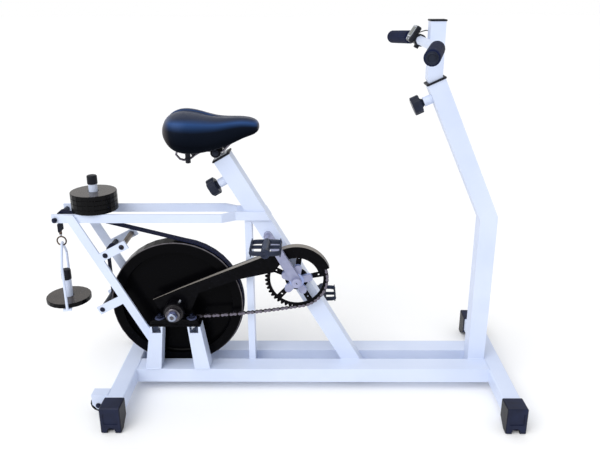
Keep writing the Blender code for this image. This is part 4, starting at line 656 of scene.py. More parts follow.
# Saddle: x, half width, top, crown above the edge and bottom of each section, from the rear to the nose
print("saddle")
saddle = {
    "sections": ((-0.2985, 0.046, 0.800, 0.010, 0.785), (-0.2900, 0.074, 0.818, 0.016, 0.765),
                 (-0.2690, 0.096, 0.836, 0.022, 0.747), (-0.2350, 0.103, 0.840, 0.026, 0.736),
                 (-0.1950, 0.092, 0.831, 0.026, 0.736), (-0.1550, 0.066, 0.820, 0.022, 0.742),
                 (-0.1150, 0.046, 0.819, 0.018, 0.752), (-0.0800, 0.038, 0.820, 0.016, 0.763),
                 (-0.0480, 0.033, 0.814, 0.014, 0.774), (-0.0360, 0.022, 0.800, 0.008, 0.782)),
    "skirt": 0.010, "skirtFrom": -0.283, "skirtTo": -0.105, "smoothing": 4,
    "channelEnd": -0.142, "channelHalf": 0.0165, "channelDepth": 0.0042, "channelTaper": 0.06, "channelBank": 0.006,
    "channelFade": 0.03, "seam": 0.0009, "seamSink": 0.35, "seamBeside": 1.18, "seamLeast": 0.0006, "seamSteps": 60,
}


def saddleRing(x, halfWidth, top, crown, bottom):
    # the rim hangs lower than the pan between the rear and the waist
    sideZ = top - crown
    rim = bottom - (saddle["skirt"] if saddle["skirtFrom"] < x < saddle["skirtTo"] else 0)
    half = [(0.0, bottom + 0.004), (halfWidth * 0.55, bottom + 0.002), (halfWidth * 0.92, rim),
            (halfWidth, rim + (sideZ - rim) * 0.35), (halfWidth * 0.95, sideZ),
            (halfWidth * 0.62, top - crown * 0.28), (halfWidth * 0.28, top), (0.0, top - crown * 0.15)]
    return [(x, y, z) for y, z in half + [(-y, z) for y, z in reversed(half[1:-1])]]


def eased(share):
    return share * share * (3 - 2 * share)


def channelHalfAt(x):
    return saddle["channelHalf"] * eased(min(1, max(0, (saddle["channelEnd"] - x) / saddle["channelTaper"]))) ** 0.5


cover = loft("saddle_skin", [saddleRing(*section) for section in saddle["sections"]])
swell = cover.modifiers.new("swell", "SUBSURF")
swell.levels = swell.render_levels = saddle["smoothing"]
choose(cover)
bpy.ops.object.modifier_apply(modifier="swell")
for vertex in cover.data.vertices:
    spot = vertex.co
    if vertex.normal.z > 0.1 and spot.x < saddle["channelEnd"]:
        half = channelHalfAt(spot.x)
        inside = min(1, max(0, (half - abs(spot.y)) / saddle["channelBank"] + 0.5)) if half > 0.001 else 0
        fade = min(1, (saddle["channelEnd"] - spot.x) / saddle["channelFade"])
        spot.z -= saddle["channelDepth"] * eased(inside) * fade

seams = []
rear = saddle["sections"][0][0]
for side in (-1, 1):
    route = []
    for step in range(saddle["seamSteps"]):
        x = rear + (saddle["channelEnd"] - rear) * step / (saddle["seamSteps"] - 1)
        y = side * max(channelHalfAt(x), saddle["seamLeast"]) * saddle["seamBeside"]
        found, point, *others = cover.ray_cast(Vector((x, y, 1.0)), Vector((0, 0, -1)))
        if found:
            route.append(Vector((x, y, point.z - saddle["seam"] * saddle["seamSink"])))
    seams.append(tube(route, saddle["seam"]))
settle(joined(seams), "saddle_seams", "seam", "saddle", "saddle_leatherette")
settle(cover, "saddle_cushion", "leather", "saddle", "saddle_leatherette", 180)
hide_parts("saddle_cover")

# Base pan under the saddle: the cover is folded round its edge
pan = {"shift": 0.003, "across": ((-0.84, 0.0016), (-0.5, 0.0006), (0.0, 0.0006), (0.5, 0.0006), (0.84, 0.0016)),
       "thick": 0.0022}
panRings = [[(x + pan["shift"], share * halfWidth, bottom + rise) for share, rise in pan["across"]]
            for x, halfWidth, top, crown, bottom in saddle["sections"][1:-1]]
panPiece = loft("pan", panRings, closed=False)
panPiece.modifiers.new("thick", "SOLIDIFY").thickness = pan["thick"]
smooth = panPiece.modifiers.new("smooth", "SUBSURF")
smooth.levels = smooth.render_levels = 2
settle(panPiece, "saddle_base_pan", "plastic", "saddle", "moulded_plastic")

# Drive chain: one outer and one inner link, each copied round the loop
print("chain")
chain = {"pitch": 0.0127, "ringTeeth": 44, "sprocketTeeth": 16, "sag": 0.007, "plate": 0.0011, "innerAt": 0.0019,
         "outerAt": 0.0031, "rollerRadius": 0.0039, "pinRadius": 0.0018, "pinEnd": 0.0004, "plateRadius": 0.0044,
         "waist": 0.0022}


def pitchRadius(teeth):
    return chain["pitch"] / 2 / sin(pi / teeth)


def chainRoute():
    # pitch line as dense points in side view: ring, sagging lower run, sprocket, upper run
    big, small = pitchRadius(chain["ringTeeth"]), pitchRadius(chain["sprocketTeeth"])
    ring, sprocket = Vector((crankAxle.x, crankAxle.z)), Vector((wheelAxle.x, wheelAxle.z))
    across = ring - sprocket
    lean, opening = math.atan2(across.y, across.x), math.acos((small - big) / across.length)
    front = arc(ring, big, lean + opening, lean - opening, 200)
    back = arc(sprocket, small, lean - opening, lean + opening - 2 * pi, 80)
    shares = [i / 100 for i in range(1, 101)]
    hanging = [front[-1].lerp(back[0], share) - Vector((0, chain["sag"] * 4 * share * (1 - share)))
               for share in shares[:-1]]
    return front + hanging + back + [back[-1].lerp(front[0], share) for share in shares]


def evenPoints(route, gap):
    # closed route cut into a whole number of equal steps near the gap, an even number of them
    lengths = [0]
    for a, b in zip(route, route[1:]):
        lengths.append(lengths[-1] + (b - a).length)
    number = 2 * round(lengths[-1] / gap / 2)
    points, at = [], 0
    for i in range(number):
        want = lengths[-1] * i / number
        while lengths[at + 1] < want:
            at += 1
        share = (want - lengths[at]) / (lengths[at + 1] - lengths[at])
        points.append(route[at].lerp(route[at + 1], share))
    return points


def linkPlate(offset):
    # figure-eight side plate between two pins, lying across Y at the offset
    outline = []
    for way in (1, -1):
        pin = Vector((way * chain["pitch"] / 2, 0))
        outline += [(point.x, offset, point.y)
                    for point in arc(pin, chain["plateRadius"], -way * pi / 2, (1 - way / 2) * pi, 5)]
        outline.append((0, offset, way * chain["waist"]))
    return slab(outline, (0, math.copysign(chain["plate"], offset), 0))


def chainLink(plateAt, pinRadius, reach, tone):
    # two plates and two pins or rollers, with the tone that the chain's steel reads
    parts = [linkPlate(-plateAt), linkPlate(plateAt)]
    for x in (-chain["pitch"] / 2, chain["pitch"] / 2):
        pin = put(roundBar(10, pinRadius, 2 * reach), move(0, 0, -reach))
        parts.append(put(pin, move(x, 0, 0) @ turn(pi / 2, "X")))
    link = joined(parts)
    link.data.attributes.new("linkTone", "FLOAT", "POINT").data.foreach_set("value", [tone] * len(link.data.vertices))
    return link


innerLink = chainLink(chain["innerAt"], chain["rollerRadius"], chain["innerAt"], 0.0)
outerLink = chainLink(chain["outerAt"], chain["pinRadius"], chain["outerAt"] + chain["plate"] + chain["pinEnd"], 1.0)
pins = evenPoints(chainRoute(), chain["pitch"])
links = []
for i, point in enumerate(pins):
    after = pins[(i + 1) % len(pins)]
    middle, way = (point + after) / 2, after - point
    place = move(middle.x, chainPlane, middle.y) @ turn(-math.atan2(way.y, way.x), "Y")
    links.append(twinAt((innerLink, outerLink)[i % 2], place))
bpy.data.objects.remove(innerLink)
bpy.data.objects.remove(outerLink)
rollerChain = settle(joined(links), "roller_chain", "chain", "frame", "chain_steel")
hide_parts("drive_chain")
print("chain links:", len(links))

# Fasteners: a washered hex head and a nut on a threaded end
print("fasteners")
fastener = {"headRadius": 0.0085, "headHeight": 0.0070, "washerRadius": 0.0118, "washerThick": 0.0016,
            "washerEdge": 0.0003, "chamfer": 0.0009, "core": 0.0045, "thread": 0.0005}


def hexBar(radius, height, chamfer, bothEnds=False):
    # a hexagonal bar with the edges of its top bevelled, or those of both ends
    return bevelEdges(roundBar(6, radius, height), chamfer, 2, lambda a, b: min(a.z, b.z) > height * 0.9
                      or (bothEnds and max(a.z, b.z) < height * 0.1))


def hexHead(scale):
    head = hexBar(fastener["headRadius"] * scale, fastener["headHeight"] * scale, fastener["chamfer"] * scale)
    r, t, edge = fastener["washerRadius"] * scale, fastener["washerThick"] * scale, fastener["washerEdge"]
    washer = turnedPiece([(0, 0), (r - edge, 0), (r, edge), (r, t - edge), (r - edge, t), (0, t)], 28)
    return joined([put(head, move(0, 0, t)), washer])


def threadedNut(scale, stick):
    top, thread = fastener["headHeight"] * scale, fastener["thread"]
    nut = hexBar(fastener["headRadius"] * scale, top, fastener["chamfer"] * scale, True)
    core, profile, z = fastener["core"] * scale, [(0, top * 0.5)], top * 0.5
    while z < top + stick:
        profile += [(core - thread, z), (core, z + thread)]
        z += 2 * thread
    return joined([nut, turnedPiece(profile + [(core - 2 * thread, z), (0, z)], 20)])


bearing = {
    "boltX": 0.0465, "boltY": 0.0715, "shift": 0.002, "footTop": 0.2355, "plateBottom": 0.2153, "faceY": 0.0871,
    "lug": ((0, 0), (0.0145, 0), (0.0148, 0.0004), (0.0148, 0.0032), (0.0140, 0.0040), (0, 0.0040)), "lugTop": 0.0040,
    "boltScale": 1.1, "boltEnd": 0.0045, "nutScale": 1.15, "nutEnd": 0.0055, "nutGap": 0.0002,
    "seal": ((0.0155, 0), (0.0175, 0.0011), (0.0215, 0.0011), (0.0222, 0.0004), (0.0236, 0.0004), (0.0242, 0.0016),
             (0.0262, 0.0016), (0.0272, 0), (0.0245, -0.0008), (0.0160, -0.0008)),
    "nipple": ((0, 0), (0.0042, 0), (0.0042, 0.0035), (0.0026, 0.0042), (0.0022, 0.0062), (0.0031, 0.0070),
               (0.0031, 0.0084), (0.0018, 0.0096), (0, 0.0096)),
    "nippleAt": (0.0145, 0.069, 0.0268), "nippleLean": (0.5, 0, 0.87),
}
spots = [(wheelAxle.x + bearing["shift"] + ahead * bearing["boltX"], side * bearing["boltY"])
         for ahead in (-1, 1) for side in (-1, 1)]
lugTop = bearing["footTop"] + bearing["lugTop"]
spread(turnedPiece(bearing["lug"], 32), [move(x, y, bearing["footTop"]) for x, y in spots],
       "pillow_block_lugs", "castLug", "frame", "black_enamel")
spread(threadedNut(bearing["boltScale"], bearing["boltEnd"]), [move(x, y, lugTop) for x, y in spots],
       "pillow_block_bolts", "darkBolt", "frame", "zinc_steel")
spread(threadedNut(bearing["nutScale"], bearing["nutEnd"]),
       [aim((x, y, bearing["plateBottom"] - bearing["nutGap"]), (0, 0, -1)) for x, y in spots],
       "pillow_block_nuts", "zinc", "frame", "zinc_steel")
bearingFaces = eachSide(wheelAxle.x, bearing["faceY"], wheelAxle.z)
spread(turnedPiece(bearing["seal"], 56, closed=True), bearingFaces,
       "bearing_seals", "bearingRing", "frame", "zinc_steel")
ahead, reach, rise = bearing["nippleAt"]
spread(turnedPiece(bearing["nipple"], 16),
       [aim((wheelAxle.x + ahead, side * reach, wheelAxle.z + rise), bearing["nippleLean"]) for side in (-1, 1)],
       "grease_nipples", "zinc", "frame", "zinc_steel")

rollers = {"pins": ((-0.6154, 0.5370), (-0.4831, 0.4308), (-0.43416, 0.45655), (-0.5084, 0.2596)), "faceY": 0.0611,
           "headScale": 0.64}
spread(hexHead(rollers["headScale"]),
       [place for x, z in rollers["pins"] for place in eachSide(x, rollers["faceY"], z)],
       "roller_bolts", "darkBolt", "frame", "zinc_steel")
wheelPin = {"x": -0.4954, "z": 0.040, "inset": 0.0022,
            "cap": ((0, 0), (0.0078, 0), (0.0078, 0.0016), (0.0066, 0.0036), (0.0035, 0.0048), (0, 0.0052))}
wheelLow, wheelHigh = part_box("transport_wheel_right")
capPlaces = [aim((wheelPin["x"], y, wheelPin["z"]), (0, way, 0))
             for near, far in ((wheelLow.y, wheelHigh.y), (-wheelHigh.y, -wheelLow.y))
             for y, way in ((near + wheelPin["inset"], -1), (far - wheelPin["inset"], 1))]
spread(turnedPiece(wheelPin["cap"], 24), capPlaces, "wheel_pin_caps", "darkBolt", "frame", "zinc_steel")

# Pedals: a barrel on the spindle, toothed cage plates in front and behind, bowed shoulders and a rib between
print("pedals")
pedal = {"length": 0.084, "width": 0.100, "plateWidth": 0.082, "thick": 0.024, "plate": 0.0046, "barrel": 0.0118,
         "teeth": 5, "toothDepth": 0.0034, "toothEnd": 0.008, "spike": 0.0065, "spikeAt": 0.0345, "shoulder": 0.0046,
         "edge": 0.0005, "plateIn": 0.0015, "spikeIn": 0.0046, "centreY": 0.155,
         "barrelInner": ((0, 0.001), (0.72, 0.001), (0.8, 0.003), (0.8, 0.020), (1, 0.024)),
         "barrelOuter": ((1, 0.008), (1.1, 0.007), (1.1, 0.0015), (0.98, 0.0004), (0.6, 0), (0.5, 0.0020),
                         (0.32, 0.0020), (0.28, 0.0004), (0, 0.0002)),
         "bow": ((1, 0.0360), (0.93, 0.0405), (0.74, 0.0432), (0.5, 0.0440), (0.24, 0.0448), (0, 0.0455)),
         "rib": (0.080, 0.0050, 0.0100), "ribAt": (0, -0.004, 0), "ribEdge": 0.0014,
         "cornerIn": 0.007, "cornerShare": 0.45}


def cagePlate():
    # seen along X: a plate with teeth on its top and bottom edges
    half, reach = pedal["plateWidth"] / 2, pedal["thick"] / 2 - pedal["plateIn"]
    base, end = reach - pedal["toothDepth"], pedal["toothEnd"]
    step = 2 * (half - end) / pedal["teeth"]
    corner = [(half - pedal["cornerIn"], base), (half, base * pedal["cornerShare"])]
    top = [(-y, z) for y, z in reversed(corner)]
    for i in range(pedal["teeth"]):
        top += [(-half + end + i * step + step * share, z)
                for share, z in ((0.15, base), (0.38, reach), (0.62, reach), (0.85, base))]
    top += corner
    outline = top + [(y, -z) for y, z in reversed(top)]
    return slab([(-pedal["plate"] / 2, y, z) for y, z in outline], (pedal["plate"], 0, 0))


def pedalForm():
    half, reach, r = pedal["width"] / 2, pedal["length"] / 2, pedal["barrel"]
    first = cagePlate()
    plates = [twinAt(first, move(side * (reach - pedal["plate"] / 2), 0, 0)) for side in (-1, 1)]
    bpy.data.objects.remove(first)
    inner = [(r * share, up - half) for share, up in pedal["barrelInner"]]
    outer = [(r * share, half - down) for share, down in pedal["barrelOuter"]]
    barrel = put(turnedPiece(inner + outer, 32), turn(-pi / 2, "X"))
    ribs = [bevelEdges(block(pedal["rib"], pedal["ribAt"]), pedal["ribEdge"], 2, longAlong(0, 0.01))]
    tip = pedal["spike"]
    spike = turnedPiece([(0, 0), (0.0019, 0), (0.0014, tip * 0.7), (0.0006, tip), (0, tip)], 10)
    for way in (-1, 1):
        for side in (-1, 1):
            edge = side * (reach - pedal["plate"] * 0.6)
            bow = tube([(edge * share, way * y, 0) for share, y in pedal["bow"]], pedal["shoulder"], 3)
            ribs.append(put(bow, Matrix.Diagonal((1, 1, 1.5, 1))))
            for up in (-1, 1):
                foot = (edge, way * pedal["spikeAt"], up * (pedal["thick"] / 2 - pedal["spikeIn"]))
                ribs.append(twinAt(spike, aim(foot, (0, 0, up))))
    bpy.data.objects.remove(spike)
    whole = joined([*plates, barrel, *ribs])
    soft = whole.modifiers.new("edges", "BEVEL")
    soft.width, soft.segments, soft.limit_method, soft.angle_limit = pedal["edge"], 1, "ANGLE", radians(40)
    choose(whole)
    bpy.ops.object.modifier_apply(modifier="edges")
    return whole


form = pedalForm()
for hand, side in (("right", -1), ("left", 1)):
    low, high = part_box("pedal_" + hand)
    middle = (low + high) / 2
    turned = move(middle.x, side * pedal["centreY"], middle.z) @ turn(pi if side < 0 else 0, "Z")
    one = settle(twinAt(form, turned), "cage_pedal_" + hand, "pedal", "pedal_" + hand + "_unit", "moulded_plastic")
    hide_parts("pedal_" + hand)
bpy.data.objects.remove(form)

# Crank hub caps with a tool slot
hub = {"cap": ((0, 0), (0.0132, 0), (0.0132, 0.0008), (0.0120, 0.0016), (0.0066, 0.0018), (0.0060, 0.0012),
               (0, 0.0012)), "faceY": 0.0794,
       "slot": (0.0062, 0.0022, 0.0008), "slotEdge": 0.0006, "slotY": 0.0807, "slotLean": (0.5, 0, 0.4)}
spread(turnedPiece(hub["cap"], 36), eachSide(crankAxle.x, hub["faceY"], crankAxle.z),
       "crank_hub_caps", "hubCap", "crank_unit", "crank_aluminium")
spread(bevelEdges(block(hub["slot"]), hub["slotEdge"], 2, longAlong(2, 0.0005)),
       eachSide(crankAxle.x, hub["slotY"], crankAxle.z, hub["slotLean"]),
       "crank_tool_slots", "enamel", "crank_unit", "black_enamel")

# Stem cap, grip ends and the display's face
print("handlebar details")
bar = {"stemCap": (0.044, 0.044, 0.0046), "stemTop": (0.4358, 0, 1.0692), "stemEdge": 0.0014,
       "gripEnd": (0.3640, 0.3460, 1.0055), "gripAxis": (-0.2513, 0.9664, -0.0548), "plugOut": 0.0039,
       "plug": ((0, 0), (0.0146, 0), (0.0146, 0.0007), (0.0141, 0.0012), (0.0116, 0.0014), (0.0108, 0.0030),
                (0.0096, 0.0034), (0.0086, 0.0026), (0.0078, 0.0012), (0.0040, 0.0010), (0, 0.0010))}
stemCap = bevelEdges(block(bar["stemCap"], bar["stemTop"]), bar["stemEdge"], 3)
settle(stemCap, "stem_cap", "plastic", "handlebar_unit", "moulded_plastic")
plugPlaces = []
for side in (-1, 1):
    mirror = Vector((1, side, 1))
    end, axis = Vector(bar["gripEnd"]) * mirror, Vector(bar["gripAxis"]) * mirror
    plugPlaces.append(aim(end + axis * bar["plugOut"], axis))
spread(turnedPiece(bar["plug"], 44), plugPlaces, "grip_end_plugs", "knob", "handlebar_unit", "moulded_plastic")

display = {"at": (0.40295, 0.085, 1.014), "tilt": radians(32), "glassUp": 0.0100, "buttonUp": -0.0120,
           "buttonY": 0.015, "bezel": (0.0340, 0.0520, 0.0018), "bezelOut": 0.0283, "bezelCorner": 0.0050,
           "rim": 0.0034, "sink": 0.0009,
           "glass": (0.0262, 0.0442, 0.0006), "glassOut": 0.0286, "glassCorner": 0.0020,
           "button": ((0, 0), (0.0036, 0), (0.0034, 0.0012), (0.0026, 0.0017), (0, 0.0018)), "buttonOut": 0.0274}
face = aim(display["at"], (-cos(display["tilt"]), 0, sin(display["tilt"])))
bezel = block(display["bezel"], (display["glassUp"], 0, display["bezelOut"]))
bevelEdges(bezel, display["bezelCorner"], 4, longAlong(2, 0.0015))
sinkFaces(bezel, lambda normal: normal.z > 0.9, display["rim"], display["sink"])
settle(put(bezel, face), "display_bezel", "silverPaint", "handlebar_unit", "moulded_plastic")
glass = block(display["glass"], (display["glassUp"], 0, display["glassOut"]))
bevelEdges(glass, display["glassCorner"], 3, longAlong(2, 0.0004))
settle(put(glass, face), "display_window", "lcd", "handlebar_unit", "moulded_plastic")
spread(turnedPiece(display["button"], 24),
       [face @ move(display["buttonUp"], side * display["buttonY"], display["buttonOut"]) for side in (-1, 1)],
       "display_buttons", "silverPaint", "handlebar_unit", "moulded_plastic")

# Brake strap: woven webbing over the flywheel and the rollers, with a UV that runs along it
print("strap")
strap = {
    "top": (-0.6154, 0.5370), "middle": (-0.4831, 0.4308), "end": 0.485, "small": 0.0093, "big": 0.1973,
    "half": 0.015, "thick": 0.002,
    "section": ((-1, -0.5), (-0.93, -1), (-0.5, -1), (0, -1), (0.5, -1), (0.93, -1), (1, -0.5),
                (1, 0.5), (0.93, 1), (0.5, 1), (0, 1), (-0.5, 1), (-0.93, 1), (-1, 0.5)),
    "fold": (0.0062, 0.0310, 0.0260), "foldUp": 0.0125, "foldEdge": 0.0016,
    "rows": (0.0045, 0.0095, 0.0155, 0.0205), "rowOut": 0.0032, "stitchFrom": -0.0125,
    "stitchStep": 0.0028, "stitch": 0.0019, "stitches": 9, "thread": 0.0004,
}


def strapRoute():
    top, wheel, middle = Vector(strap["top"]), Vector((wheelAxle.x, wheelAxle.z)), Vector(strap["middle"])
    small, big = strap["small"], strap["big"]
    across, rise = wheel - top, wheel - middle
    leave = math.atan2(across.y, across.x) + math.acos((small - big) / across.length)
    meet = math.atan2(rise.y, rise.x) - math.acos((small - big) / rise.length)
    return [Vector((top.x - small, strap["end"])), *arc(top, small, pi, leave, 14),
            *arc(wheel, big, leave, meet - 2 * pi if meet > leave else meet, 150),
            *arc(middle, small, meet if meet > 0 else meet + 2 * pi, radians(-25), 16)]


route = strapRoute()
rings, run = [], [0.0]
for i, point in enumerate(route):
    if i:
        run.append(run[-1] + (point - route[i - 1]).length)
    way = (route[min(i + 1, len(route) - 1)] - route[max(i - 1, 0)]).normalized()
    section = [(y * strap["half"], point + Vector((-way.y, way.x)) * (t * strap["thick"] / 2))
               for y, t in strap["section"]]
    rings.append([(spot.x, y, spot.y) for y, spot in section])
strapBand = loft("strap_band", rings)
layer = strapBand.data.uv_layers.new(name="strapRun")
for loop in strapBand.data.loops:
    ring, place = divmod(loop.vertex_index, len(rings[0]))
    layer.data[loop.index].uv = (run[ring], rings[ring][place][1])
settle(strapBand, "woven_brake_strap", "webbing", "frame", "strap_webbing", 50)
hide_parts("brake_strap")

# Folded and stitched strap end and the zinc-plated swivel above the hanger's ring
foldX, foldZ = strap["top"][0] - strap["small"], strap["end"]
fold = block(strap["fold"], (foldX, 0, foldZ + strap["foldUp"]))
bevelEdges(fold, strap["foldEdge"], 3, longAlong(1, 0.01))
settle(fold, "strap_fold", "cloth", "frame", "strap_webbing")
stitches = []
for z in strap["rows"]:
    for x in (foldX - strap["rowOut"], foldX + strap["rowOut"]):
        for step in range(strap["stitches"]):
            y = strap["stitchFrom"] + step * strap["stitchStep"]
            stitches.append(tube([(x, y, foldZ + z), (x, y + strap["stitch"], foldZ + z)], strap["thread"], 1))
settle(joined(stitches), "strap_stitches", "seam", "frame", "strap_webbing")
swivel = {"z": 0.4690,
          "profile": ((0, 0), (0.0026, 0.0004), (0.0038, 0.0020), (0.0038, 0.0062), (0.0028, 0.0074),
                      (0.0028, 0.0092), (0.0042, 0.0100), (0.0042, 0.0124), (0.0030, 0.0134), (0, 0.0138))}
settle(put(turnedPiece(swivel["profile"], 28), move(hangerX, 0, swivel["z"])),
       "hanger_swivel", "zinc", "hanger", "zinc_steel")

# Saddle underside: clamp yoke with its bolt, and black sleeves over the rear bumpers
print("saddle hardware")
yoke = {"size": (0.040, 0.056, 0.016), "corner": 0.0035, "rim": 0.0030, "sink": 0.0012,
        "at": (-0.158, 0, 0.7345), "bolt": (-0.158, 0.0300, 0.7225), "boltScale": 0.80,
        "sleeveAt": (-0.231, 0.045, 0.6984),
        "sleeve": ((0, 0), (0.0050, 0), (0.0072, 0.0014), (0.0072, 0.0100), (0.0084, 0.0112), (0.0084, 0.0150),
                   (0.0072, 0.0162), (0.0072, 0.0300), (0.0092, 0.0330), (0.0092, 0.0370), (0, 0.0370))}
yokePlate = bevelEdges(block(yoke["size"], yoke["at"]), yoke["corner"], 3, longAlong(1, 0.02))
sinkFaces(yokePlate, lambda normal: abs(normal.y) > 0.9, yoke["rim"], yoke["sink"])
settle(yokePlate, "saddle_clamp_yoke", "enamel", "saddle", "black_enamel")
spread(hexHead(yoke["boltScale"]), eachSide(*yoke["bolt"]), "saddle_clamp_bolts", "knob", "saddle", "zinc_steel")
x, y, z = yoke["sleeveAt"]
spread(turnedPiece(yoke["sleeve"], 28), [move(x, side * y, z) for side in (-1, 1)],
       "saddle_bumper_sleeves", "plastic", "saddle", "moulded_plastic")

# Weld beads where tubes meet, all in the frame's own coat
print("welds")
weld = {"radius": 0.0021, "ripple": 0.00035, "pitch": 0.0030, "railTop": 0.0735, "railLow": 0.033, "railIn": 0.0253,
        "railOut": 0.0853, "gap": 0.0002, "ends": (-0.418, 0.6384), "post": (0.5895, 0.6367), "seat": 0.027,
        "strut": (-0.0832, -0.0650), "strutTop": (-0.0820, -0.0660), "strutY": 0.0249, "strutZ": 0.5270,
        "stand": (0.053, 0.0945), "seatRise": 0.2785, "seatLean": 30.3}


def bead(start, end):
    start, end = Vector(start), Vector(end)
    steps = max(4, int((end - start).length / weld["pitch"] * 3))
    widths = [(weld["radius"] + weld["ripple"] * cos(2 * pi * i / 3)) * min(1, (min(i, steps - i) + 0.8) / 2)
              for i in range(steps + 1)]
    return tube([start.lerp(end, i / steps) for i in range(steps + 1)], 1.0, 1, widths)


top, railIn, railOut = weld["railTop"], weld["railIn"], weld["railOut"]
seatX = crankAxle.x + weld["seatRise"] * math.tan(radians(weld["seatLean"]))
beads = []
for side in (-1, 1):
    for x in weld["ends"]:
        beads += [bead((x, side * (railIn + 0.003), top), (x, side * (railOut - 0.002), top)),
                  bead((x, side * railOut, weld["railLow"]), (x, side * railOut, top - 0.001))]
    runs = [(low, high, railIn - weld["gap"], top)
            for low, high in (weld["post"], (seatX - weld["seat"], seatX + weld["seat"]), weld["strut"])]
    runs += [(*[wheelAxle.x + way * reach for reach in weld["stand"]], railOut, top) for way in (-1, 1)]
    runs.append((*weld["strutTop"], weld["strutY"], weld["strutZ"]))
    beads += [bead((low, side * y, z), (high, side * y, z)) for low, high, y, z in runs]
settle(joined(beads), "frame_weld_beads", "powder", "frame", "white_powder", 60)

# Running gear details: bearing collars, axle nut, the crank's boss and a stouter hanger ring
print("running gear details")
gear = {"bore": 0.0124, "collarRadius": 0.0212, "collarReach": 0.0165, "leftShare": 0.65, "edge": 0.0012,
        "nutRadius": 0.0150, "nutHeight": 0.0060, "nutChamfer": 0.0016, "nutSink": 0.0006, "axleEnd": 0.1171,
        "hole": ((0, 0), (0.0062, 0), (0.0060, 0.0004), (0.0048, 0.0004), (0.0040, 0.0001), (0, 0.0001)),
        "boss": ((0, 0), (0.0215, 0), (0.0215, 0.0065), (0.0195, 0.0090), (0.0165, 0.0100), (0, 0.0100)),
        "bossAt": 0.0540, "ringRadius": 0.0133, "ringWire": 0.0022, "ringRise": 0.0150}
r, reach, edge = gear["collarRadius"], gear["collarReach"], gear["edge"]
collar = turnedPiece([(gear["bore"], 0), (r - 0.0010, 0), (r, edge), (r, reach - edge), (r - edge, reach),
                      (r - 0.0028, reach), (r - 0.0034, reach - edge), (gear["bore"], reach - edge)], 48, closed=True)
collarPlaces = [place @ Matrix.Diagonal((1, 1, share, 1))
                for place, share in zip(bearingFaces, (1, gear["leftShare"]))]
spread(collar, collarPlaces, "bearing_collars", "collar", "flywheel_unit", "zinc_steel")


def onRight(piece, axle, reach, *dressing):
    # put on an axle, facing the right at this distance from the middle
    settle(put(piece, aim((axle.x, -reach, axle.z), (0, -1, 0))), *dressing)


axleNut = hexBar(gear["nutRadius"], gear["nutHeight"], gear["nutChamfer"])
onRight(axleNut, wheelAxle, bearing["faceY"] + reach - gear["nutSink"],
        "axle_nut", "blueZinc", "flywheel_unit", "zinc_steel")
onRight(turnedPiece(gear["hole"], 28), wheelAxle, gear["axleEnd"],
        "axle_centre_hole", "collar", "flywheel_unit", "zinc_steel")
onRight(turnedPiece(gear["boss"], 48), crankAxle, gear["bossAt"],
        "spider_boss", "boss", "crank_unit", "crank_aluminium")

ringLow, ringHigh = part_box("hanger_ring")
ringCentre = Vector(((ringLow.x + ringHigh.x) / 2, 0, ringLow.z + gear["ringRise"]))
letGo()
bpy.ops.mesh.primitive_torus_add(major_radius=gear["ringRadius"], minor_radius=gear["ringWire"],
                                 major_segments=56, minor_segments=14)
ring = put(bpy.context.object, aim(ringCentre, (0, 1, 0), (1, 0, 0)))
settle(ring, "split_ring", "bronze", "hanger", "zinc_steel")

# The display's split clamp round the handlebar, with its screw
clamp = {"y": 0.071, "inner": 0.0127, "outer": 0.0164, "half": 0.0175, "edge": 0.0008,
         "lug": (0.0110, 0.0200, 0.0090), "lugDrop": 0.0020, "screw": (0.0030, 0.0020), "screwY": 0.0095,
         "screwDrop": 0.0025, "lugEdge": 0.0016, "turn": 25}
inner, outer, half, edge = clamp["inner"], clamp["outer"], clamp["half"], clamp["edge"]
around = move(display["at"][0], clamp["y"], display["at"][2])
band = turnedPiece([(inner, -half), (outer - edge, -half), (outer, edge - half), (outer, half - edge),
                    (outer - edge, half), (inner, half)], 44, closed=True)
put(band, around @ turn(pi / 2, "X"))
lug = bevelEdges(block(clamp["lug"], (0, 0, -outer - clamp["lugDrop"])), clamp["lugEdge"], 3)
screw = put(roundBar(20, *clamp["screw"]),
            move(0, clamp["screwY"], -outer - clamp["screwDrop"]) @ turn(-pi / 2, "X"))
ear = put(joined([lug, screw]), around @ turn(radians(clamp["turn"]), "Y"))
settle(joined([band, ear]), "display_clamp", "case", "handlebar_unit", "moulded_plastic")

# Camera: the photograph's view, 600 by 450
view = {"place": (0.0954, -1.8031, 1.1434), "lens": 39.557, "sensor": 36,
        "yaw": 0.0117, "pitch": 0.3418, "roll": -0.0048}
letGo()
bpy.ops.object.camera_add()
camera = bpy.context.object
camera.data.sensor_width, camera.data.lens = view["sensor"], view["lens"]
level = turn(view["yaw"], "Z") @ turn(pi / 2 - view["pitch"], "X")
camera.matrix_world = move(*view["place"]) @ level @ turn(view["roll"], "Z")
bpy.context.scene.camera = camera

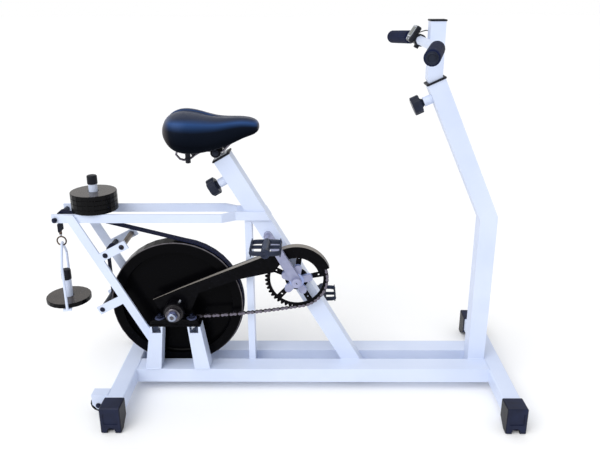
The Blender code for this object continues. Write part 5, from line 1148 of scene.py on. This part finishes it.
# Studio: a pale floor, a white surround, a wide soft sun and one square key light
studio = {"floor": "#FCFCFD", "floorCloud": "#FAFBFC", "floorSize": 60, "floorZ": -0.0006, "cloudMm": 400,
          "floorRoughness": 0.7, "surround": "#FFFFFF", "surroundPower": 0.75, "seenPower": 1.0,
          "sunAt": (-2, -2.5, 3.5), "sunWay": (0.42, 0.55, -0.72), "sunPower": 1.5, "sunWidth": 60,
          "keyAt": (-1.4, -2.4, 2.6), "keyWay": (1.1, 2.4, -2.1), "keyPower": 14, "keySize": 1.6}
bpy.ops.mesh.primitive_plane_add(size=studio["floorSize"], location=(0, 0, studio["floorZ"]))
floor = bpy.context.object
floor.name = "studio_floor"
# matt white lacquered board with faint wide clouds
paint, place = newMaterial("matt_white_floor")
cloud = ramp(paint, noise(paint, place, studio["cloudMm"], 2), studio["floorCloud"], studio["floor"])
floor.data.materials.append(feed(paint, {"Base Color": cloud, "Roughness": studio["floorRoughness"]}))

world = bpy.data.worlds.new("studio_surround")
world.use_nodes = True
bpy.context.scene.world = world
rays = addNode(world, "LightPath").outputs["Is Camera Ray"]
lit, seen = world.node_tree.nodes["Background"], addNode(world, "Background")
for node, power in ((lit, studio["surroundPower"]), (seen, studio["seenPower"])):
    feed(world, {"Color": studio["surround"], "Strength": power}, node=node)
either = addNode(world, "MixShader", {}, {"Fac": rays, 1: lit.outputs[0], 2: seen.outputs[0]})
feed(world, {"Surface": either.outputs[0]}, node=world.node_tree.nodes["World Output"])


def addLight(kind, name, place, way, power):
    bpy.ops.object.light_add(type=kind, location=place)
    light = bpy.context.object
    light.name = name
    light.data.energy = power
    light.rotation_euler = Vector(way).to_track_quat("-Z", "Y").to_euler()
    return light.data


sun = addLight("SUN", "soft_sun", studio["sunAt"], studio["sunWay"], studio["sunPower"])
sun.angle = radians(studio["sunWidth"])
key = addLight("AREA", "key_light", studio["keyAt"], studio["keyWay"], studio["keyPower"])
key.size = studio["keySize"]
bpy.context.scene.view_settings.view_transform = "Standard"
